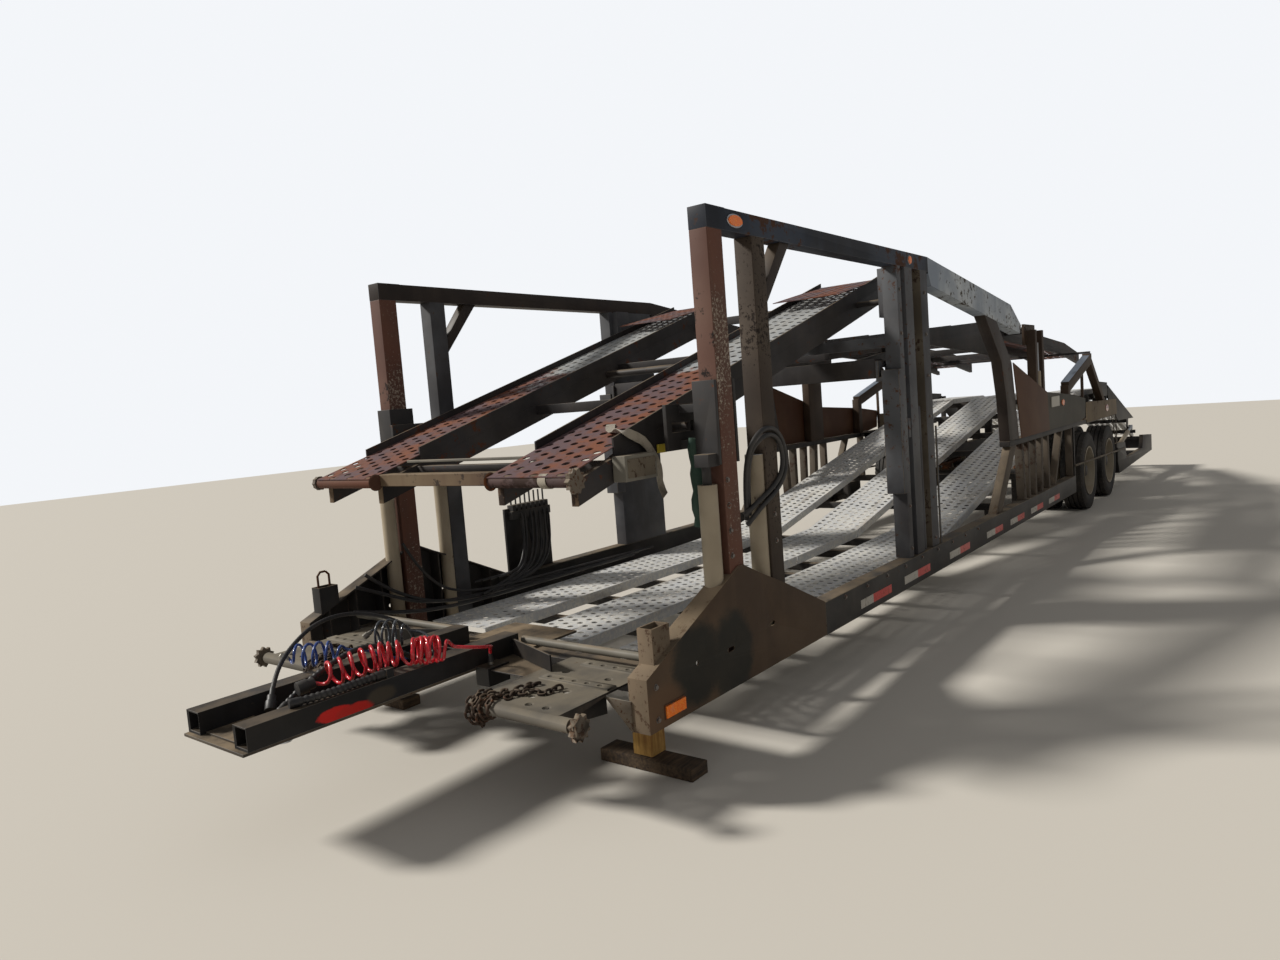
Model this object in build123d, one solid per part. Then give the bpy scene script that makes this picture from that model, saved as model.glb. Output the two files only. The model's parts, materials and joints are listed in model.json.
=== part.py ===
from build123d import *
import math
import os

# Stations are measured from the front edge of the side gussets, in millimetres.
# X runs forward, Y to the trailer's left and Z up from the ground.
HALF_W = 1295.5
NOSE_X = 1164.0
TAIL_X = -13700.0
SHIFT_X = -(NOSE_X + TAIL_X) / 2
PLATE = 8.0
PIN_FIT = 0.05
MOVE_GAP = 6.0
SHOE_GAP = 0.3

# Side frame
GUSSET_LOW_Z = 313.0
GUSSET_TOP = [(0, 545.5), (-766, 872), (-814, 871), (-942, 811), (-1207, 699), (-1640, 501)]
GUSSET_REAR_X = -1640.0
FLANGE_IN_Y = HALF_W - 100.0
SIDE_CLEAR = 11.5
POST_DEPTH = 100.0
WEB_DEPTH = 90.0
SILL_LOW_Z = 310.0
SILL_TOP_Z = 497.0
SILL_REAR_X = -8000.0

# Upright posts and top rails
POST_Y = (HALF_W - SIDE_CLEAR - POST_DEPTH, HALF_W - SIDE_CLEAR)
WEB_Y = (HALF_W - SIDE_CLEAR - WEB_DEPTH, HALF_W - SIDE_CLEAR)
POST_FOOT_Z = GUSSET_LOW_Z + PLATE
POST_A_X = (-832.0, -705.0)
POST_B_X = (-1225.0, -1100.0)
POST_D_X = (-3530.0, -2960.0)
POST_D_RAILS = [(-3030.0, -2960.0), (-3240.0, -3105.0), (-3530.0, -3394.0)]
RAIL_TOP_Z = 2556.0
RAIL_LOW_Z = 2454.0
CAP_TOP_Z = 2558.0
KINK_X = -3551.0
RAIL_TAIL = [(-5650, 2308), (-5977, 2130), (-5922, 2056)]
SLOPE_BOX_D = 200.0

# Lower deck: flat part, ramp up over the wheels, crest and tail
TRACK_BANDS = [(528.0, 1025.0), (-237.0, 237.0), (-1025.0, -528.0)]
TRACK_PLATE = 5.0
TRACK_D = 64.0
FLAT_Z = 395.0
FLAT_X = (-3300.0, -750.0)
LANDING_X = (-4430.0, -3320.0)
RAMP_FOOT = (-4450.0, 418.0)
RAMP_SLOPE = 0.1967
RAMP_MID_X = -7200.0
RAMP_TOP_X = -9500.0
CREST_REAR_X = -10880.0
TAIL_SLOPE = 0.303
TAIL_TRACK_X = (-13690.0, -10890.0)
CROSS_D = 60.0
CROSS_HALF = 30.0

# Body sides over the wheels
BEAM_Z = (1040.0, 1090.0)
BEAM_X = (-10720.0, -5450.0)
PANEL_Y = (POST_Y[1], POST_Y[1] + PLATE)

# Upper decks
DECK_BAND = (445.0, 947.0)
BEAM_W = 40.0
DECK_BEAM_D = 112.0
FLANGE_UP = 40.0
FLANGE_DOWN = 48.0
FDECK_FRONT = (5.0, 1392.0)
FDECK_SLOPE = 0.296
FDECK_REAR_X = -3560.0
FDECK_PIVOT = (-3080.0, 2240.0)
MDECK_FRONT = (-3570.0, 2010.0)
MDECK_SLOPE = 0.0647
MDECK_REAR_X = -6540.0
MDECK_PIVOT = (-6470.0, 2120.0)
RDECK_FRONT = (-6580.0, 2160.0)
RDECK_SLOPE = -0.0625
RDECK_KNEE_X = -9300.0
RDECK_REAR = (-10120.0, 1860.0)
RDECK_PIVOT = (-6670.0, 2100.0)
MAST_X = (-6830.0, -6500.0)
MAST_TOP_Z = 2105.0

# Lift cylinders and the carriers they move
FCYL_X = -645.0
CYL_Y = HALF_W - 65.5
BARREL_R = 46.0
ROD_R = 22.0
FCYL_TOP_Z = 1277.0
FCYL_FOOT_Z = 330.0
FCYL_EYE_Z = 1360.0
FCARRIER_Z = (1366.0, 1760.0)
FPIN = (-770.0, 1551.0)
FSLOT_X = (-820.0, -640.0)
MCARRIER_X = (-2955.0, -2890.0)
MCARRIER_Z = (945.0, 1775.0)
MPIN = (-2950.0, 1770.0)
MSLOT_X = (-3048.0, -2925.0)
DECK_PIN_R = 20.0
BCYL_X = -1080.0
BCYL_TOP_Z = 1380.0

# Tail
TAIL_PIN = (-11200.0, 540.0)
TAIL_EYE = (-12350.0, 750.0)
TAIL_CYL_Y = HALF_W - 105.5
SKIRT_Y = (HALF_W - 155.5, HALF_W - 145.5)

# Wheels
WHEEL_R = 464.5
WHEEL_X = {"front": -8881.0, "rear": -10143.0}
TYRE_W = 255.0
TYRE_OUT_Y = HALF_W - 18.5
TYRE_GAP = 85.0
BEAD_R = 286.0
SPINDLE_R = 40.0


def ramp_z(x):
    """Height of the sloped lower deck at station x."""
    return RAMP_FOOT[1] + RAMP_SLOPE * (RAMP_FOOT[0] - x)


CREST_Z = ramp_z(RAMP_TOP_X)


TAIL_HINGE = (CREST_REAR_X - 5, CREST_Z)
HINGE_R = 20.0


def tail_z(x):
    """Height of the tail deck at station x."""
    return CREST_Z - TAIL_SLOPE * (CREST_REAR_X - x)


def fdeck_z(x):
    """Height of the front upper deck's surface."""
    return FDECK_FRONT[1] + FDECK_SLOPE * (FDECK_FRONT[0] - x)


def mdeck_z(x):
    """Height of the middle upper deck's surface."""
    return MDECK_FRONT[1] + MDECK_SLOPE * (MDECK_FRONT[0] - x)


def rdeck_z(x):
    """Height of the rear upper deck's surface ahead of its knee."""
    return RDECK_FRONT[1] + RDECK_SLOPE * (RDECK_FRONT[0] - x)


def block(x, y, z):
    """Box from three (low, high) pairs."""
    size = (abs(x[1] - x[0]), abs(y[1] - y[0]), abs(z[1] - z[0]))
    return Pos(sum(x) / 2, sum(y) / 2, sum(z) / 2) * Box(*size)


def slab(outline, y):
    """Prism of an X-Z outline between two Y values."""
    face = make_face(Polyline(*[(px, y[0], pz) for px, pz in outline], close=True))
    return extrude(face, amount=y[1] - y[0], dir=(0, 1, 0))


def section(outline, x):
    """Prism of a Y-Z outline between two X values."""
    face = make_face(Polyline(*[(x[0], py, pz) for py, pz in outline], close=True))
    return extrude(face, amount=x[1] - x[0], dir=(1, 0, 0))


def bar(a, b, depth, y):
    """Straight member between two X-Z points, its depth across the run."""
    dx, dz = b[0] - a[0], b[1] - a[1]
    run = math.hypot(dx, dz)
    nx, nz = -dz / run * depth / 2, dx / run * depth / 2
    return slab([(a[0] + nx, a[1] + nz), (b[0] + nx, b[1] + nz), (b[0] - nx, b[1] - nz), (a[0] - nx, a[1] - nz)], y)


def rod(a, b, radius):
    """Round bar between two points."""
    path = Vector(*b) - Vector(*a)
    return extrude(Plane(origin=a, z_dir=path) * Circle(radius), amount=path.length)


def pipe(a, b, radius, bore):
    """Round tube between two points."""
    return rod(a, b, radius) - rod(a, b, bore)


def both(shape):
    """A left-hand piece and its mirror image."""
    return [shape, mirror(shape, about=Plane.XZ)]


def shift_z(points, dz):
    """Outline points moved up or down."""
    return [(x, z + dz) for x, z in points]


def strip(top, depth, y):
    """Plank that follows a top line and keeps one vertical depth."""
    return slab(top + list(reversed(shift_z(top, -depth))), y)


# Tongue: two box rails on a floor plate that runs forward as the nose
TONGUE_HALF = 241.0
TONGUE_Z = (451.0, 463.0, 560.0)
TONGUE_RAIL_W = 100.0
TONGUE_ROOT_X = -735.0
TONGUE_RAIL_FRONT = NOSE_X - 20.0
NOSE_PLATE_X = (915.0, 1120.0)
BULKHEAD_X = 10.0


def tongue():
    low, mid, top = TONGUE_Z
    frame = block((TONGUE_ROOT_X, NOSE_X), (-TONGUE_HALF, TONGUE_HALF), (low, mid))
    inner = TONGUE_HALF - TONGUE_RAIL_W
    for side in (1, -1):
        frame += block((TONGUE_ROOT_X, TONGUE_RAIL_FRONT), (side * inner, side * TONGUE_HALF), (mid, top))
        frame += block((-140, 0), (side * TONGUE_HALF, side * ROOT_STEP_Y), (380, ROOT_STEP_Z))
        wall = make_face(Polyline((-255, side * TONGUE_HALF, mid), (-115, side * 635, mid), (-125, side * 638, mid), (-265, side * 245, mid), close=True))
        frame += extrude(wall, amount=50, dir=(0, 0, 1))
    frame += block((BULKHEAD_X - PLATE, BULKHEAD_X), (-inner, inner), (mid, top - 12))
    frame += block(NOSE_PLATE_X, (-inner, inner), (mid, mid + 9))
    return [frame]


def tongue_glands():
    """Short bosses that the air lines and the cable come out of."""
    bosses = [rod((BULKHEAD_X, y, z), (BULKHEAD_X + GLAND_L, y, z), radius) for y, z, radius in BULKHEAD_GLANDS]
    bosses += [rod((x, y, ROOT_STEP_Z), (x, y, ROOT_STEP_Z + GLAND_L), radius) for x, y, radius in STEP_GLANDS]
    x, y, radius = FLOOR_GLAND
    bosses.append(rod((x, y, TONGUE_Z[1]), (x, y, TONGUE_Z[1] + GLAND_L), radius))
    bosses.append(block(RAIL_CLIP_X, (RAIL_HOSE_Y - 20, RAIL_HOSE_Y + 20), (TONGUE_Z[2], TONGUE_Z[2] + 40)))
    return bosses


def cross_pipes():
    """Round stays from the tongue's rails out to the gussets' stiffeners."""
    return both(rod((STAY_X, TONGUE_HALF, STAY_Z), (STAY_X, FLANGE_IN_Y - SHOE_GAP, STAY_Z), STAY_R))


ROOT_STEP_Y = 330.0
ROOT_STEP_Z = 470.0
STAY_X = -330.0
STAY_Z = 520.0
STAY_R = 20.0
GLAND_L = 18.0
BULKHEAD_GLANDS = [(-40.0, 505.0, 24.0), (-100.0, 500.0, 14.0)]
FLOOR_GLAND = (60.0, 20.0, 14.0)
STEP_GLANDS = [(-60.0, 290.0, 14.0), (-60.0, -290.0, 20.0)]
RAIL_CLIP_X = (455.0, 495.0)
RAIL_HOSE_Y = 216.0
KINGPIN_X = 870.0
KINGPIN_PROFILE = [(0, 0), (36.5, 0), (36.5, -35), (25.4, -35), (25.4, -71), (35.7, -71), (35.7, -84), (0, -84)]


def kingpin():
    face = make_face(Polyline(*[(r, 0, z) for r, z in KINGPIN_PROFILE], close=True))
    return [Pos(KINGPIN_X, 0, TONGUE_Z[0]) * revolve(face, Axis.Z)]


FRONT_BEAM_X = (-450.0, -330.0)
FRONT_BEAM_Z = (340.0, TONGUE_Z[0])


def front_beam():
    return [block(FRONT_BEAM_X, (-FLANGE_IN_Y, FLANGE_IN_Y), FRONT_BEAM_Z)]


# Perforated aprons between the tongue and the gussets
APRON_X = (-350.0, 300.0)
APRON_Y = (ROOT_STEP_Y, 1070.0)
APRON_T = 10.0
APRON_TOP_Z = TONGUE_Z[0] + SHOE_GAP + APRON_T
APRON_TUBE_R = 30.0
APRON_TUBE_Z = APRON_TOP_Z - APRON_TUBE_R
APRON_TUBE_END = 1140.0
APRON_HOLES = [(250, 420), (250, 560), (250, 860), (250, 960), (170, 480), (170, 800), (60, 900), (-150, 700), (-150, 960), (-220, 520)]
STRAPS = [(-50.0, 650.0, 5), (-280.0, 700.0, 4)]
STRAP_W = 62.0
STRAP_T = 8.0
STRAP_HOLE_R = 14.0
STAR_R = 58.0
STAR_TEETH = 10
STAR_T = 24.0


def star_wheel(x, y, z):
    """Ratchet wheel turned by a bar, on the end of a strap roller."""
    step = math.pi / STAR_TEETH
    rim = [(STAR_R if i % 2 else STAR_R - 14, i * step) for i in range(2 * STAR_TEETH)]
    face = make_face(Polyline(*[(x + r * math.cos(a), y, z + r * math.sin(a)) for r, a in rim], close=True))
    return extrude(face, amount=STAR_T, dir=(0, 1, 0))


def aprons():
    low, high = APRON_TOP_Z - APRON_T, APRON_TOP_Z
    plate = block(APRON_X, APRON_Y, (low, high))
    for x, y, count in STRAPS:
        strap = block((x - STRAP_W / 2, x + STRAP_W / 2), (y, APRON_Y[1] - PLATE), (high, high + STRAP_T))
        holes = [rod((x, y + 45 + 75 * i, low), (x, y + 45 + 75 * i, high + STRAP_T), STRAP_HOLE_R) for i in range(count)]
        plate = plate + strap - holes
    plate -= [rod((x, y, low - 1), (x, y, high + 1), 20) for x, y in APRON_HOLES]
    plate += block(APRON_X, (APRON_Y[0], APRON_Y[0] + PLATE), (APRON_TOP_Z - 70, APRON_TOP_Z)) & block((-330 + SHOE_GAP, APRON_X[1]), APRON_Y, (0, 1000))
    cheek = [(APRON_X[1], high), (APRON_X[1], APRON_TUBE_Z - 20), (0, high - 90), (0, high)]
    plate += slab(cheek, (APRON_Y[1] - PLATE, APRON_Y[1]))
    tube = rod((APRON_X[1], APRON_Y[0], APRON_TUBE_Z), (APRON_X[1], APRON_TUBE_END, APRON_TUBE_Z), APRON_TUBE_R)
    shaft = rod((APRON_X[1], APRON_TUBE_END, APRON_TUBE_Z), (APRON_X[1], APRON_TUBE_END + 30, APRON_TUBE_Z), 18)
    wheel = star_wheel(APRON_X[1], APRON_TUBE_END + 30, APRON_TUBE_Z)
    corner = section([(APRON_Y[1], high - 16), (FLANGE_IN_Y + 12, GUSSET_LOW_Z), (FLANGE_IN_Y + 12, high - 16)], (0, PLATE))
    return both(plate + tube + shaft + wheel + corner)


# Side gussets: plate, inward flange and stiffeners, open on the inside
STIFFENER_X = (-140.0, -330.0, -520.0, -980.0, -1420.0)
GUSSET_SLOTS = [(-650.0, 500.0, 40.0), (-370.0, 515.0, 0.0), (-1050.0, 526.0, 30.0)]
GUSSET_SLOT_R = 11.0
GUSSET_SLOPE = (GUSSET_TOP[1][1] - GUSSET_TOP[0][1]) / (GUSSET_TOP[0][0] - GUSSET_TOP[1][0])


def gussets():
    outline = [(0, GUSSET_LOW_Z)] + GUSSET_TOP + [(GUSSET_REAR_X, GUSSET_LOW_Z)]
    under = shift_z(GUSSET_TOP, -PLATE - 1)
    hollow = [(-PLATE, GUSSET_LOW_Z + PLATE), (-PLATE, under[0][1])] + under[1:]
    hollow += [(GUSSET_REAR_X - 1, under[-1][1]), (GUSSET_REAR_X - 1, GUSSET_LOW_Z + PLATE)]
    inner_y = (FLANGE_IN_Y - 1, HALF_W - PLATE)
    piece = slab(outline, (FLANGE_IN_Y, HALF_W)) - slab(hollow, inner_y)
    for x in STIFFENER_X:
        piece += slab(hollow, (FLANGE_IN_Y, HALF_W - PLATE)) & block((x - 4, x + 4), (FLANGE_IN_Y, HALF_W - PLATE), (300, 900))
    for post in (POST_A_X, POST_B_X):
        piece -= block(post, POST_Y, (POST_FOOT_Z, 1000))
    piece -= rod((FCYL_X, CYL_Y, 600), (FCYL_X, CYL_Y, 1000), BARREL_R + 2)
    piece -= rod((BCYL_X, CYL_Y, 600), (BCYL_X, CYL_Y, 1000), BARREL_R + 2)
    for x, z, length in GUSSET_SLOTS:
        for end in (x - length / 2, x + length / 2):
            piece -= rod((end, FLANGE_IN_Y, z), (end, HALF_W + 1, z), GUSSET_SLOT_R)
        if length:
            piece -= block((x - length / 2, x + length / 2), (FLANGE_IN_Y, HALF_W + 1), (z - GUSSET_SLOT_R, z + GUSSET_SLOT_R))
    return both(piece)


def sills():
    web = HALF_W - PLATE
    low, top = SILL_LOW_Z, SILL_TOP_Z
    outline = [
        (HALF_W, low), (HALF_W, top), (FLANGE_IN_Y, top), (FLANGE_IN_Y, top - PLATE),
        (web, top - PLATE), (web, low + PLATE), (FLANGE_IN_Y, low + PLATE), (FLANGE_IN_Y, low),
    ]
    return both(section(outline, (SILL_REAR_X, GUSSET_REAR_X)))


STUB_X = (-210.0, -85.0)
STUB_Y = (HALF_W - 100.0, HALF_W - 22.0)
STUB_TOP_Z = 735.0


def gusset_top_z(x):
    """Height of the gusset's front slope at station x."""
    return GUSSET_TOP[0][1] - GUSSET_SLOPE * x


def stub_posts():
    """Short box posts, open at the top, on the gussets' front slope."""
    rear, front = STUB_X
    outline = [(front, gusset_top_z(front)), (front, STUB_TOP_Z), (rear, STUB_TOP_Z), (rear, gusset_top_z(rear))]
    piece = slab(outline, STUB_Y)
    piece -= block((rear + PLATE, front - PLATE), (STUB_Y[0] + PLATE, STUB_Y[1] - PLATE), (STUB_TOP_Z - 70, STUB_TOP_Z + 1))
    return both(piece)


def front_posts():
    pieces = []
    for x in (POST_A_X, POST_B_X):
        pieces += both(block(x, POST_Y, (POST_FOOT_Z, RAIL_LOW_Z)))
    return pieces


def top_rails():
    outline = [
        (POST_A_X[1], RAIL_LOW_Z), (POST_A_X[1], CAP_TOP_Z), (-870, CAP_TOP_Z), (-870, RAIL_TOP_Z),
        (KINK_X, RAIL_TOP_Z),
    ] + RAIL_TAIL + [(KINK_X - 60, RAIL_TOP_Z - SLOPE_BOX_D), (KINK_X, RAIL_LOW_Z)]
    return both(slab(outline, POST_Y))


def knee_braces():
    return both(slab([(POST_B_X[0], 2110), (POST_B_X[0], 2210), (-1415, RAIL_LOW_Z), (-1515, RAIL_LOW_Z)], (POST_Y[0] + 16, POST_Y[1] - 14)))


# Mid posts: a tall channel with three rails, a pin-hole bar and a cylinder inside
PIN_HOLE_R = 9.5
PIN_HOLE_PITCH = 38.0
PIN_HOLE_ROWS = [(1082.0, 6), (1691.0, 11)]
HOLE_BAR_X = -3080.0
CHANNEL_BACK_T = 10.0
MCYL_X = -3315.0
MCYL_TOP_Z = 1510.0
POST_BEAM_X = (-3005.0, -2965.0)
POST_BEAM_Z = (1925.0, 2000.0)
LIGHT_STRIP_X = POST_D_X[0] - 62.0


def channel_posts():
    z = (SILL_TOP_Z, RAIL_LOW_Z)
    piece = block(POST_D_X, (POST_Y[0], POST_Y[0] + CHANNEL_BACK_T), z)
    for x in POST_D_RAILS:
        piece += block(x, POST_Y, z)
    plate_y = (POST_Y[0] + 31, POST_Y[0] + 46)
    piece += block((POST_D_RAILS[1][1], POST_D_RAILS[0][0]), plate_y, z)
    for start, count in PIN_HOLE_ROWS:
        for i in range(count):
            height = start + i * PIN_HOLE_PITCH
            piece -= rod((HOLE_BAR_X, plate_y[0] - 1, height), (HOLE_BAR_X, plate_y[1] + 1, height), PIN_HOLE_R)
    piece += block((HOLE_BAR_X - 20, HOLE_BAR_X + 20), (plate_y[1], POST_Y[1] - 5), (1310, 1440))
    piece += rod((MCYL_X, CYL_Y, SILL_TOP_Z), (MCYL_X, CYL_Y, MCYL_TOP_Z), BARREL_R - 8)
    return both(piece)


def light_strips():
    """Thin bars behind the channel posts, from the sill up."""
    return both(block((LIGHT_STRIP_X - 10, LIGHT_STRIP_X + 10), (POST_Y[1] - 12, POST_Y[1] - 4), (SILL_TOP_Z, 1355)))


def post_beam():
    """Light beam that ties the two channel posts together."""
    return [block(POST_BEAM_X, (-POST_Y[0], POST_Y[0]), POST_BEAM_Z)]


def rail_under_z(x):
    """Height of the sloped rail's underside at station x."""
    (tip_x, tip_z), (start_x, start_z) = RAIL_TAIL[2], (KINK_X - 60, RAIL_TOP_Z - SLOPE_BOX_D)
    return start_z + (tip_z - start_z) * (x - start_x) / (tip_x - start_x)


REAR_BRACE_TOP_X = (-4875.0, -5212.0)
REAR_BRACE = [(-5628, 1790), (-5783, BEAM_Z[1]), (-5470, BEAM_Z[1]), (-5418, 1466), (-5308, 1805)]


def rear_braces():
    """Bent brace plates from the sloped rail down to the body side beam."""
    top = [(x, rail_under_z(x)) for x in REAR_BRACE_TOP_X]
    return both(slab(top + REAR_BRACE, (POST_Y[0] + 6, POST_Y[1] - 4)))


def side_beams():
    return both(block(BEAM_X, WEB_Y, BEAM_Z))


STRUTS = [
    ((-5075, SILL_TOP_Z), (-5600, BEAM_Z[0]), 190),
    ((-5945, SILL_TOP_Z), (-5905, BEAM_Z[0]), 70),
    ((-6110, SILL_TOP_Z), (-6110, BEAM_Z[0]), 60),
    ((-6350, SILL_TOP_Z), (-6370, BEAM_Z[0]), 60),
    ((-6590, SILL_TOP_Z), (-6630, BEAM_Z[0]), 80),
    ((-6880, SILL_TOP_Z), (-6880, BEAM_Z[0]), 60),
    ((-7130, SILL_TOP_Z), (-7500, BEAM_Z[0]), 60),
    ((-7960, SILL_TOP_Z), (-7960, BEAM_Z[0]), 60),
]


def side_struts():
    pieces = []
    for foot, head, width in STRUTS:
        half = width / 2
        outline = [(foot[0] - half, foot[1]), (head[0] - half, head[1]), (head[0] + half, head[1]), (foot[0] + half, foot[1])]
        pieces += both(slab(outline, (WEB_Y[0] + 11, WEB_Y[1] - 9)))
    return pieces


def side_plates():
    return both(slab([(-5636, 1790), (-6847, 1480), (-6893, BEAM_Z[1]), (-5830, BEAM_Z[1])], PANEL_Y))


def body_panels():
    return both(slab([(-6893, BEAM_Z[1]), (-6847, 1480), (-8063, 1407), (-8664, 1342), (-8631, 1125), (-8339, BEAM_Z[1])], (PANEL_Y[0], PANEL_Y[1] - 2)))


def fender_panels():
    return both(slab([(-8700, FENDER_LOW_Z), (-8700, 1295), (-10613, 1252), (-10630, FENDER_LOW_Z)], PANEL_Y))


FENDER_LOW_Z = 1050.0
STRUT_FOOT_Z = 650.0
TAIL_STRUTS = [(-10260.0, -10570.0), (-10560.0, -10600.0)]


def tail_struts():
    """Twin struts behind the wheels that hang the tail frame."""
    piece = None
    for head, foot in TAIL_STRUTS:
        outline = [(head - 15, FENDER_LOW_Z), (head + 15, FENDER_LOW_Z), (foot + 15, STRUT_FOOT_Z), (foot - 15, STRUT_FOOT_Z)]
        strut = slab(outline, PANEL_Y)
        piece = strut if piece is None else piece + strut
    return both(piece)


# Masts that carry the two rear decks
MAST_PLATE_T = 20.0


def masts():
    rear, front = MAST_X
    z = (BEAM_Z[1], MAST_TOP_Z)
    inner, outer = WEB_Y[0], WEB_Y[1] - 8
    piece = block((rear, front), (inner, inner + CHANNEL_BACK_T), z)
    for x in ((rear, rear + 70), (front - 70, front)):
        piece += block(x, (inner, outer), z)
    plate = block((rear - 10, MDECK_PIVOT[0] + 45), (inner - MAST_PLATE_T, inner), (1960, 2165))
    for x, height in (MDECK_PIVOT, RDECK_PIVOT):
        plate -= rod((x, inner - MAST_PLATE_T - 5, height), (x, inner + 5, height), DECK_PIN_R + PIN_FIT)
    return both(piece + plate)


def mast_cylinders():
    x = sum(MAST_X) / 2
    y = WEB_Y[0] + CHANNEL_BACK_T + 38
    piece = rod((x, y, BEAM_Z[1]), (x, y, 1700), 36) + rod((x, y, 1700), (x, y, 1980), ROD_R)
    return both(piece)


# Arms and braces that hold the rear deck's tail
AFRAME_TIP = (-9100.0, 1800.0)
REST_Z = 1870.0


def rear_arms():
    y = (WEB_Y[0], WEB_Y[1] - 8)
    piece = bar((-7900, 1500), AFRAME_TIP, 120, y) + bar(AFRAME_TIP, (-9900, 1250), 80, y)
    piece += block((-7960, -7860), y, (BEAM_Z[1], 1520)) + block((-9940, -9860), y, (BEAM_Z[1], 1280))
    piece += block((AFRAME_TIP[0] - 60, AFRAME_TIP[0] + 60), y, (AFRAME_TIP[1], REST_Z))
    piece += block((-8657, -8633), (y[1] - 30, y[1]), (BEAM_Z[1], 1700))
    return both(piece)


# Perforations of every track plate: staggered rows of six-sided openings
HOLE_PITCH = 400.0
HOLE_ROW = 3
HOLE_L = 60.0
HOLE_W = 34.0
HOLE_EDGE = 90.0


def perforated_plate(rear, front, band, thickness):
    """Plate between two (x, z) points of its top face, cut through by rows of openings."""
    dx, dz = front[0] - rear[0], front[1] - rear[1]
    run = math.hypot(dx, dz)
    ux, uz = dx / run, dz / run
    inner, outer = band

    def on_top(s, y):
        return (rear[0] + ux * s, y, rear[1] + uz * s)

    rows = max(1, int((run - 2 * HOLE_EDGE) / HOLE_PITCH) + 1)
    start = (run - (rows - 1) * HOLE_PITCH) / 2
    openings = []
    for i in range(rows):
        for k in range(HOLE_ROW):
            y = inner + HOLE_EDGE + k * (outer - inner - 2 * HOLE_EDGE) / (HOLE_ROW - 1)
            s = start + i * HOLE_PITCH + (HOLE_L if k % 2 else -HOLE_L) / 2
            hexagon = [(-0.5, 0), (-0.25, 0.5), (0.25, 0.5), (0.5, 0), (0.25, -0.5), (-0.25, -0.5)]
            openings.append(Wire.make_polygon([on_top(s + a * HOLE_L, y + b * HOLE_W) for a, b in hexagon], close=True))
    outline = Wire.make_polygon([on_top(0, inner), on_top(run, inner), on_top(run, outer), on_top(0, outer)], close=True)
    return extrude(Face(outline, openings), amount=thickness, dir=(0, 0, -1))


# Lower deck tracks
def track(rear, front, band):
    """Channel track between two (x, z) points of its top surface."""
    piece = perforated_plate(rear, front, band, TRACK_PLATE)
    for y in ((band[0], band[0] + TRACK_PLATE), (band[1] - TRACK_PLATE, band[1])):
        piece += strip([rear, front], TRACK_D, y)
    return piece


def flat_tracks():
    rear, front = FLAT_X
    return [track((rear, FLAT_Z), (front, FLAT_Z), band) for band in TRACK_BANDS]


def landing_z(x):
    """Height of the flat lower deck and of the landing that rises to the ramp's foot."""
    rear, front = LANDING_X
    return FLAT_Z + (RAMP_FOOT[1] - FLAT_Z) * max(0.0, front - x) / (front - rear)


def landing_plates():
    rear, front = LANDING_X
    return [track((rear, landing_z(rear)), (front, landing_z(front)), band) for band in TRACK_BANDS]


def ramp_tracks():
    pieces = []
    for rear, front in ((RAMP_MID_X, RAMP_FOOT[0]), (RAMP_TOP_X, RAMP_MID_X - 10)):
        pieces += [track((rear, ramp_z(rear)), (front, ramp_z(front)), band) for band in TRACK_BANDS]
    return pieces


def crest_tracks():
    front = RAMP_TOP_X - 10
    return [track((CREST_REAR_X, CREST_Z), (front, CREST_Z), band) for band in TRACK_BANDS]


CROSS_X = [-800.0, -1350.0, -1900.0, -2450.0, -3000.0, -3400.0, -3900.0, -4400.0]


def crossmembers():
    pieces = []
    for x in CROSS_X:
        top = landing_z(x + CROSS_HALF) - TRACK_D
        half = POST_Y[0] if x > POST_B_X[1] else FLANGE_IN_Y
        pieces.append(block((x - CROSS_HALF, x + CROSS_HALF), (-half, half), (top - CROSS_D, top)))
    return pieces


RAMP_CROSS_X = [-5400.0, -6300.0, -7150.0]
LEG_Y = (POST_Y[0] - 124.0, POST_Y[0] - 64.0)
DECK_CROSS_X = [-7900.0, -8800.0, -9600.0, -10200.0, -10800.0]


def ramp_crossmembers():
    pieces = []
    for x in RAMP_CROSS_X:
        top = ramp_z(x + CROSS_HALF) - TRACK_D
        pieces.append(block((x - CROSS_HALF, x + CROSS_HALF), (-LEG_Y[1], LEG_Y[1]), (top - CROSS_D, top)))
        foot = (SILL_LOW_Z + 20, SILL_LOW_Z + 80)
        pieces += both(block((x - CROSS_HALF, x + CROSS_HALF), LEG_Y, (foot[1] + SHOE_GAP, top - CROSS_D - SHOE_GAP)))
        pieces += both(block((x - CROSS_HALF, x + CROSS_HALF), (LEG_Y[0], HALF_W - PLATE), foot))
    return pieces


def deck_crossmembers():
    pieces = []
    for x in DECK_CROSS_X:
        surface = ramp_z(x + CROSS_HALF) if x > RAMP_TOP_X else CREST_Z
        top = surface - TRACK_D
        x_pair = (x - CROSS_HALF, x + CROSS_HALF)
        pieces.append(block(x_pair, (-SKIRT_Y[0], SKIRT_Y[0]), (top - CROSS_D, top)))
        pieces += both(block(x_pair, (SKIRT_Y[0] - 60, SKIRT_Y[0]), (BEAM_Z[1] + SHOE_GAP, top - CROSS_D - SHOE_GAP)))
        pieces += both(block(x_pair, (SKIRT_Y[0] - 60, WEB_Y[0]), BEAM_Z))
    return pieces


def hinge_lugs():
    """Lugs behind the last crossmember with the pins the tail deck turns on."""
    hx, hz = TAIL_HINGE
    pieces = []
    for side in (1, -1):
        inner, outer = SKIRT_Y[0] - 40, SKIRT_Y[0] - 10
        lug = block((hx - 28, DECK_CROSS_X[-1] - CROSS_HALF - SHOE_GAP), (side * inner, side * outer), (hz - 70, hz + 28))
        pieces.append(lug + rod((hx, side * outer, hz), (hx, side * (SKIRT_Y[1] + 6), hz), HINGE_R))
    return pieces


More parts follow.
